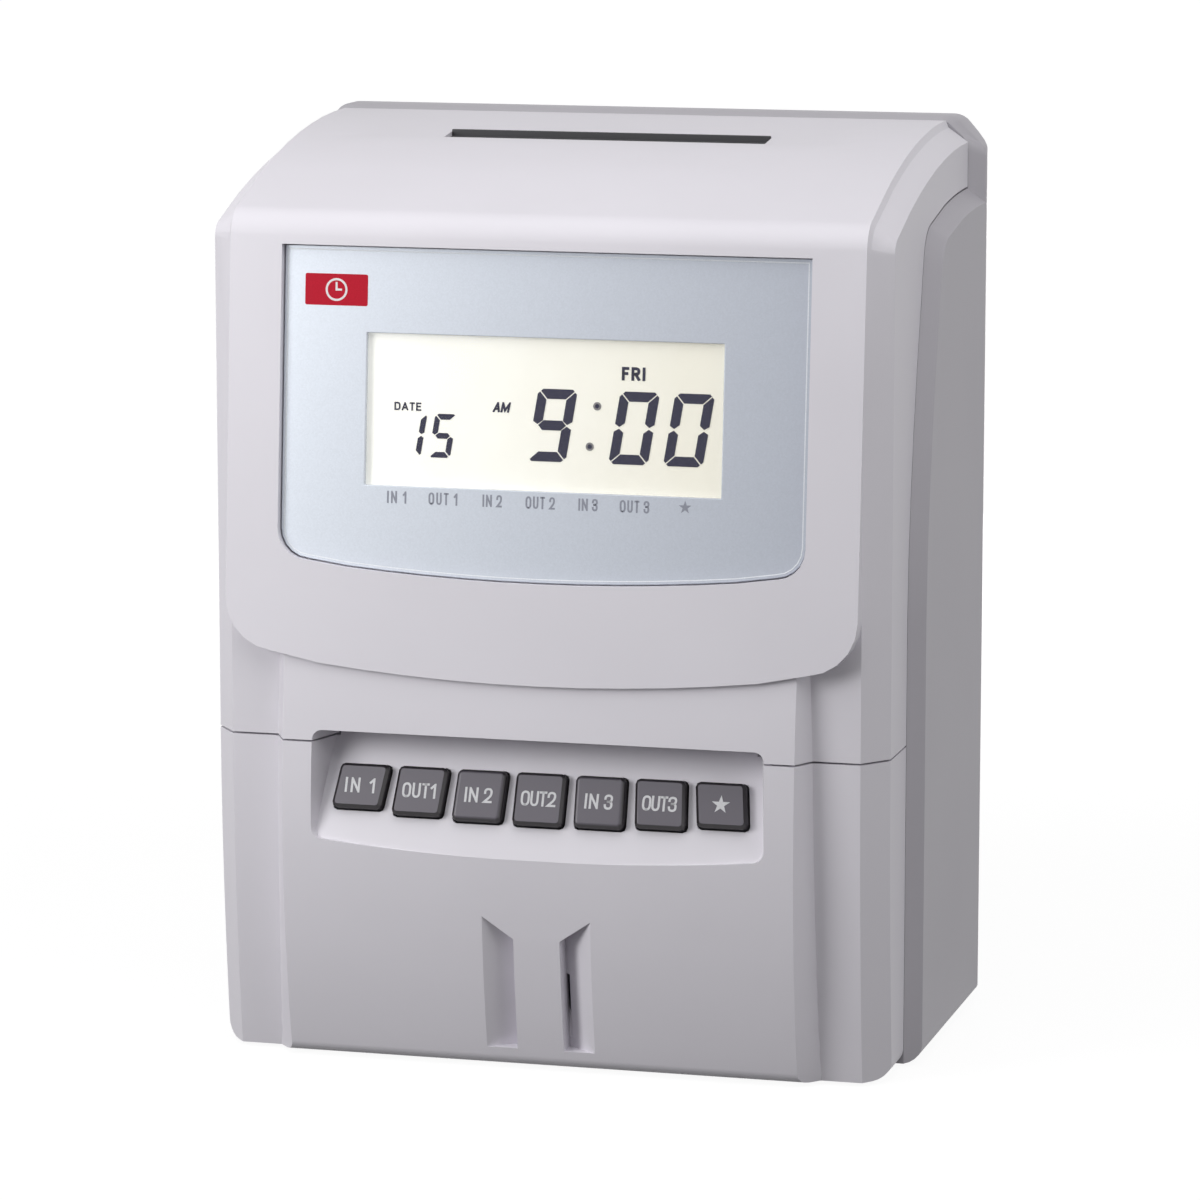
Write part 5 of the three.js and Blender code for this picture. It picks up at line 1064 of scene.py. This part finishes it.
def aim_camera(light):
    """The camera of the photograph's view."""
    camera = bpy.data.cameras.new("camera")
    camera.lens = light.lens
    camera.clip_start, camera.clip_end = CAMERA_RANGE
    holder = new_object("camera", camera)
    holder.location = CAMERA_PLACE
    holder.rotation_euler = (math.radians(90) - light.tilt, 0, light.turn)
    bpy.context.scene.camera = holder


# Operators, one for each piece or group of like pieces

class TIMECLOCK_OT_case(bpy.types.Operator):
    """Dress the moulded covers and the rear case"""

    bl_idname = "time_clock.case"
    bl_label = "Case"

    def execute(self, context):
        dress(["rear_case", "top_cover", "lower_cover"], "shell_edge", steps=3)
        # The record gives all three one slot
        # The rear case takes the covers' grey, darkened as painted shade
        frame["nodes"]["rear_case"].material_slots[0].material = finish("rear_abs_painted_shade")
        make_slot_shade_lip()
        return {"FINISHED"}


class TIMECLOCK_OT_panel(bpy.types.Operator):
    """Dress the display panel, print its column names and label, and lay a painted highlight along its rim
    """

    bl_idname = "time_clock.panel"
    bl_label = "Display panel"

    def execute(self, context):
        dress(["display_panel"], "small_edge")
        dress(["display_window"])
        print_column_names()
        print_rim_highlight()
        print_label()
        return {"FINISHED"}


class TIMECLOCK_OT_display(bpy.types.Operator):
    """Dress the display cell and set its digits and words"""

    bl_idname = "time_clock.display"
    bl_label = "Display"

    def execute(self, context):
        sizes, colours, _ = settings()
        dress(["lcd_glass", "backlight"])
        face = cell_face()
        dark = printed_ink("display_segment_dark", colours.lcd_ink, 0.4, ior=1.05)
        grey = printed_ink("display_segment_grey", linear("#8C8A8C"), 0.4, ior=1.05)

        def show(name, mesh, ink, x, y):
            print_piece(name, mesh, face, x * MM, y * MM, ink, "case", CELL_LIFT * MM)

        for group, places, base in (
                ("time", TIME_DIGITS, TIME_BASE), ("date", DATE_DIGITS, DATE_BASE)):
            shape = [getattr(sizes, f"{group}_{part}") for part in ("width", "height", "stroke")]
            for count, (x, digit) in enumerate(places, 1):
                mesh = plate(segment_digit(digit, *shape, sizes.segment_gap))
                show(f"{group}_digit_{count}", mesh, dark, x, base)
        rim = COLON_RADIUS - COLON_CORE
        for count, (x, y) in enumerate(COLON, 1):
            show(f"colon_rim_{count}", plate(ring(COLON_RADIUS * MM, rim * MM)), grey, x, y)
            show(f"colon_dot_{count}", plate(disc((COLON_CORE - COLON_PLAY) * MM)), dark, x, y)
        for text, x, y, height, width, stroke, breadth, slant in DISPLAY_WORDS:
            mesh = words(text, height * MM, width * MM, stroke * MM, breadth, slant)
            show("display_word_" + text.lower(), mesh, dark, x, y)
        return {"FINISHED"}


class TIMECLOCK_OT_keys(bpy.types.Operator):
    """Dress the seven keys and print their words"""

    bl_idname = "time_clock.keys"
    bl_label = "Keys"

    def execute(self, context):
        sizes, colours, _ = settings()
        names = [name for name, _, _ in KEY_WORDS] + ["key_star"]
        dress(names, "key_edge", steps=3)
        pale = printed_ink("pad_ink_pale_grey", colours.key_ink, 0.45)
        for name, text, width in KEY_WORDS:
            mesh = words(text, sizes.key_legend_height, width * MM, KEY_WORD_STROKE * MM)
            print_piece(name + "_words", mesh, front_face(name), 0, 0, pale, name)
        print_piece(
            "key_star_mark", plate(star(KEY_STAR_RADIUS * MM)), front_face("key_star"), 0, 0, pale,
            "key_star")
        return {"FINISHED"}


class TIMECLOCK_OT_boards(bpy.types.Operator):
    """Dress the circuit boards and what stands on them"""

    bl_idname = "time_clock.boards"
    bl_label = "Boards"

    def execute(self, context):
        dress(["main_board", "key_board", "power_board"], "metal_edge", steps=1)
        dress(["buzzer", "backup_battery"], "small_edge")
        return {"FINISHED"}


class TIMECLOCK_OT_card_path(bpy.types.Operator):
    """Dress the side frames, the card chute and the card stop"""

    bl_idname = "time_clock.card_path"
    bl_label = "Card path"

    def execute(self, context):
        dress(["frame_right", "frame_left", "chute_front", "chute_rear"], "metal_edge", steps=1)
        dress(["card_stop", "platen"], "small_edge")
        return {"FINISHED"}


class TIMECLOCK_OT_drives(bpy.types.Operator):
    """Dress the lift, the print carriage and the ribbon with their motors"""

    bl_idname = "time_clock.drives"
    bl_label = "Drives and printer"

    def execute(self, context):
        dress([
            "rail_lower", "rail_upper", "carriage_screw", "lift_screw", "carriage_motor",
            "lift_motor", "lift_bracket_lower", "lift_bracket_upper", "carriage_pinion",
            "lift_pinion"], "metal_edge", steps=1)
        dress(["print_carriage", "print_head", "ribbon_cassette", "ribbon_knob"], "small_edge")
        dress(["ink_ribbon"])
        return {"FINISHED"}


class TIMECLOCK_OT_power(bpy.types.Operator):
    """Dress the transformer and the power inlet"""

    bl_idname = "time_clock.power"
    bl_label = "Power parts"

    def execute(self, context):
        dress(["transformer_core", "transformer_coil", "power_inlet"], "small_edge")
        dress(["inlet_pin_left", "inlet_pin_right"], "metal_edge", steps=1)
        return {"FINISHED"}


class TIMECLOCK_OT_mounts(bpy.types.Operator):
    """Dress the wall hangers, the screws and the feet"""

    bl_idname = "time_clock.mounts"
    bl_label = "Hangers, screws and feet"

    def execute(self, context):
        dress(["hanger_left", "hanger_right"], "metal_edge", steps=1)
        dress([f"case_screw_{k}" for k in range(1, 5)], "metal_edge")
        dress([f"foot_{k}" for k in range(1, 5)], "small_edge")
        return {"FINISHED"}


class TIMECLOCK_OT_stage(bpy.types.Operator):
    """Set the pale floor, the soft lamps and the camera"""

    bl_idname = "time_clock.stage"
    bl_label = "Stage"

    def execute(self, context):
        light = settings()[2]
        lay_floor()
        light_room(light)
        for name, (place, size) in LAMPS.items():
            aim_lamp(name + "_lamp", place, size, getattr(light, name + "_power"))
        aim_camera(light)
        context.scene.view_settings.view_transform = "Standard"
        return {"FINISHED"}


STEPS = (
    TIMECLOCK_OT_stage, TIMECLOCK_OT_case, TIMECLOCK_OT_panel, TIMECLOCK_OT_display,
    TIMECLOCK_OT_keys, TIMECLOCK_OT_boards, TIMECLOCK_OT_card_path, TIMECLOCK_OT_drives,
    TIMECLOCK_OT_power, TIMECLOCK_OT_mounts)


class TIMECLOCK_PT_panel(bpy.types.Panel):
    """The clock's sizes and colours, and a button for each step"""

    bl_idname = "TIMECLOCK_PT_panel"
    bl_label = "Time Clock"
    bl_space_type = "VIEW_3D"
    bl_region_type = "UI"
    bl_category = "Time Clock"

    def draw(self, context):
        for group in settings():
            box = self.layout.box()
            for name in group.bl_rna.properties.keys():
                if name not in {"rna_type", "name"}:
                    box.prop(group, name)
        for step in STEPS:
            self.layout.operator(step.bl_idname)


CLASSES = (*SETTINGS.values(), *STEPS, TIMECLOCK_PT_panel)


def register():
    for made in CLASSES:
        bpy.utils.register_class(made)
    for name, group in SETTINGS.items():
        setattr(bpy.types.Scene, name, bpy.props.PointerProperty(type=group))


def unregister():
    for name in SETTINGS:
        delattr(bpy.types.Scene, name)
    for made in reversed(CLASSES):
        bpy.utils.unregister_class(made)


def main():
    register()
    for step in STEPS:
        group, name = step.bl_idname.split(".")
        getattr(getattr(bpy.ops, group), name)()


if __name__ == "__main__":
    main()
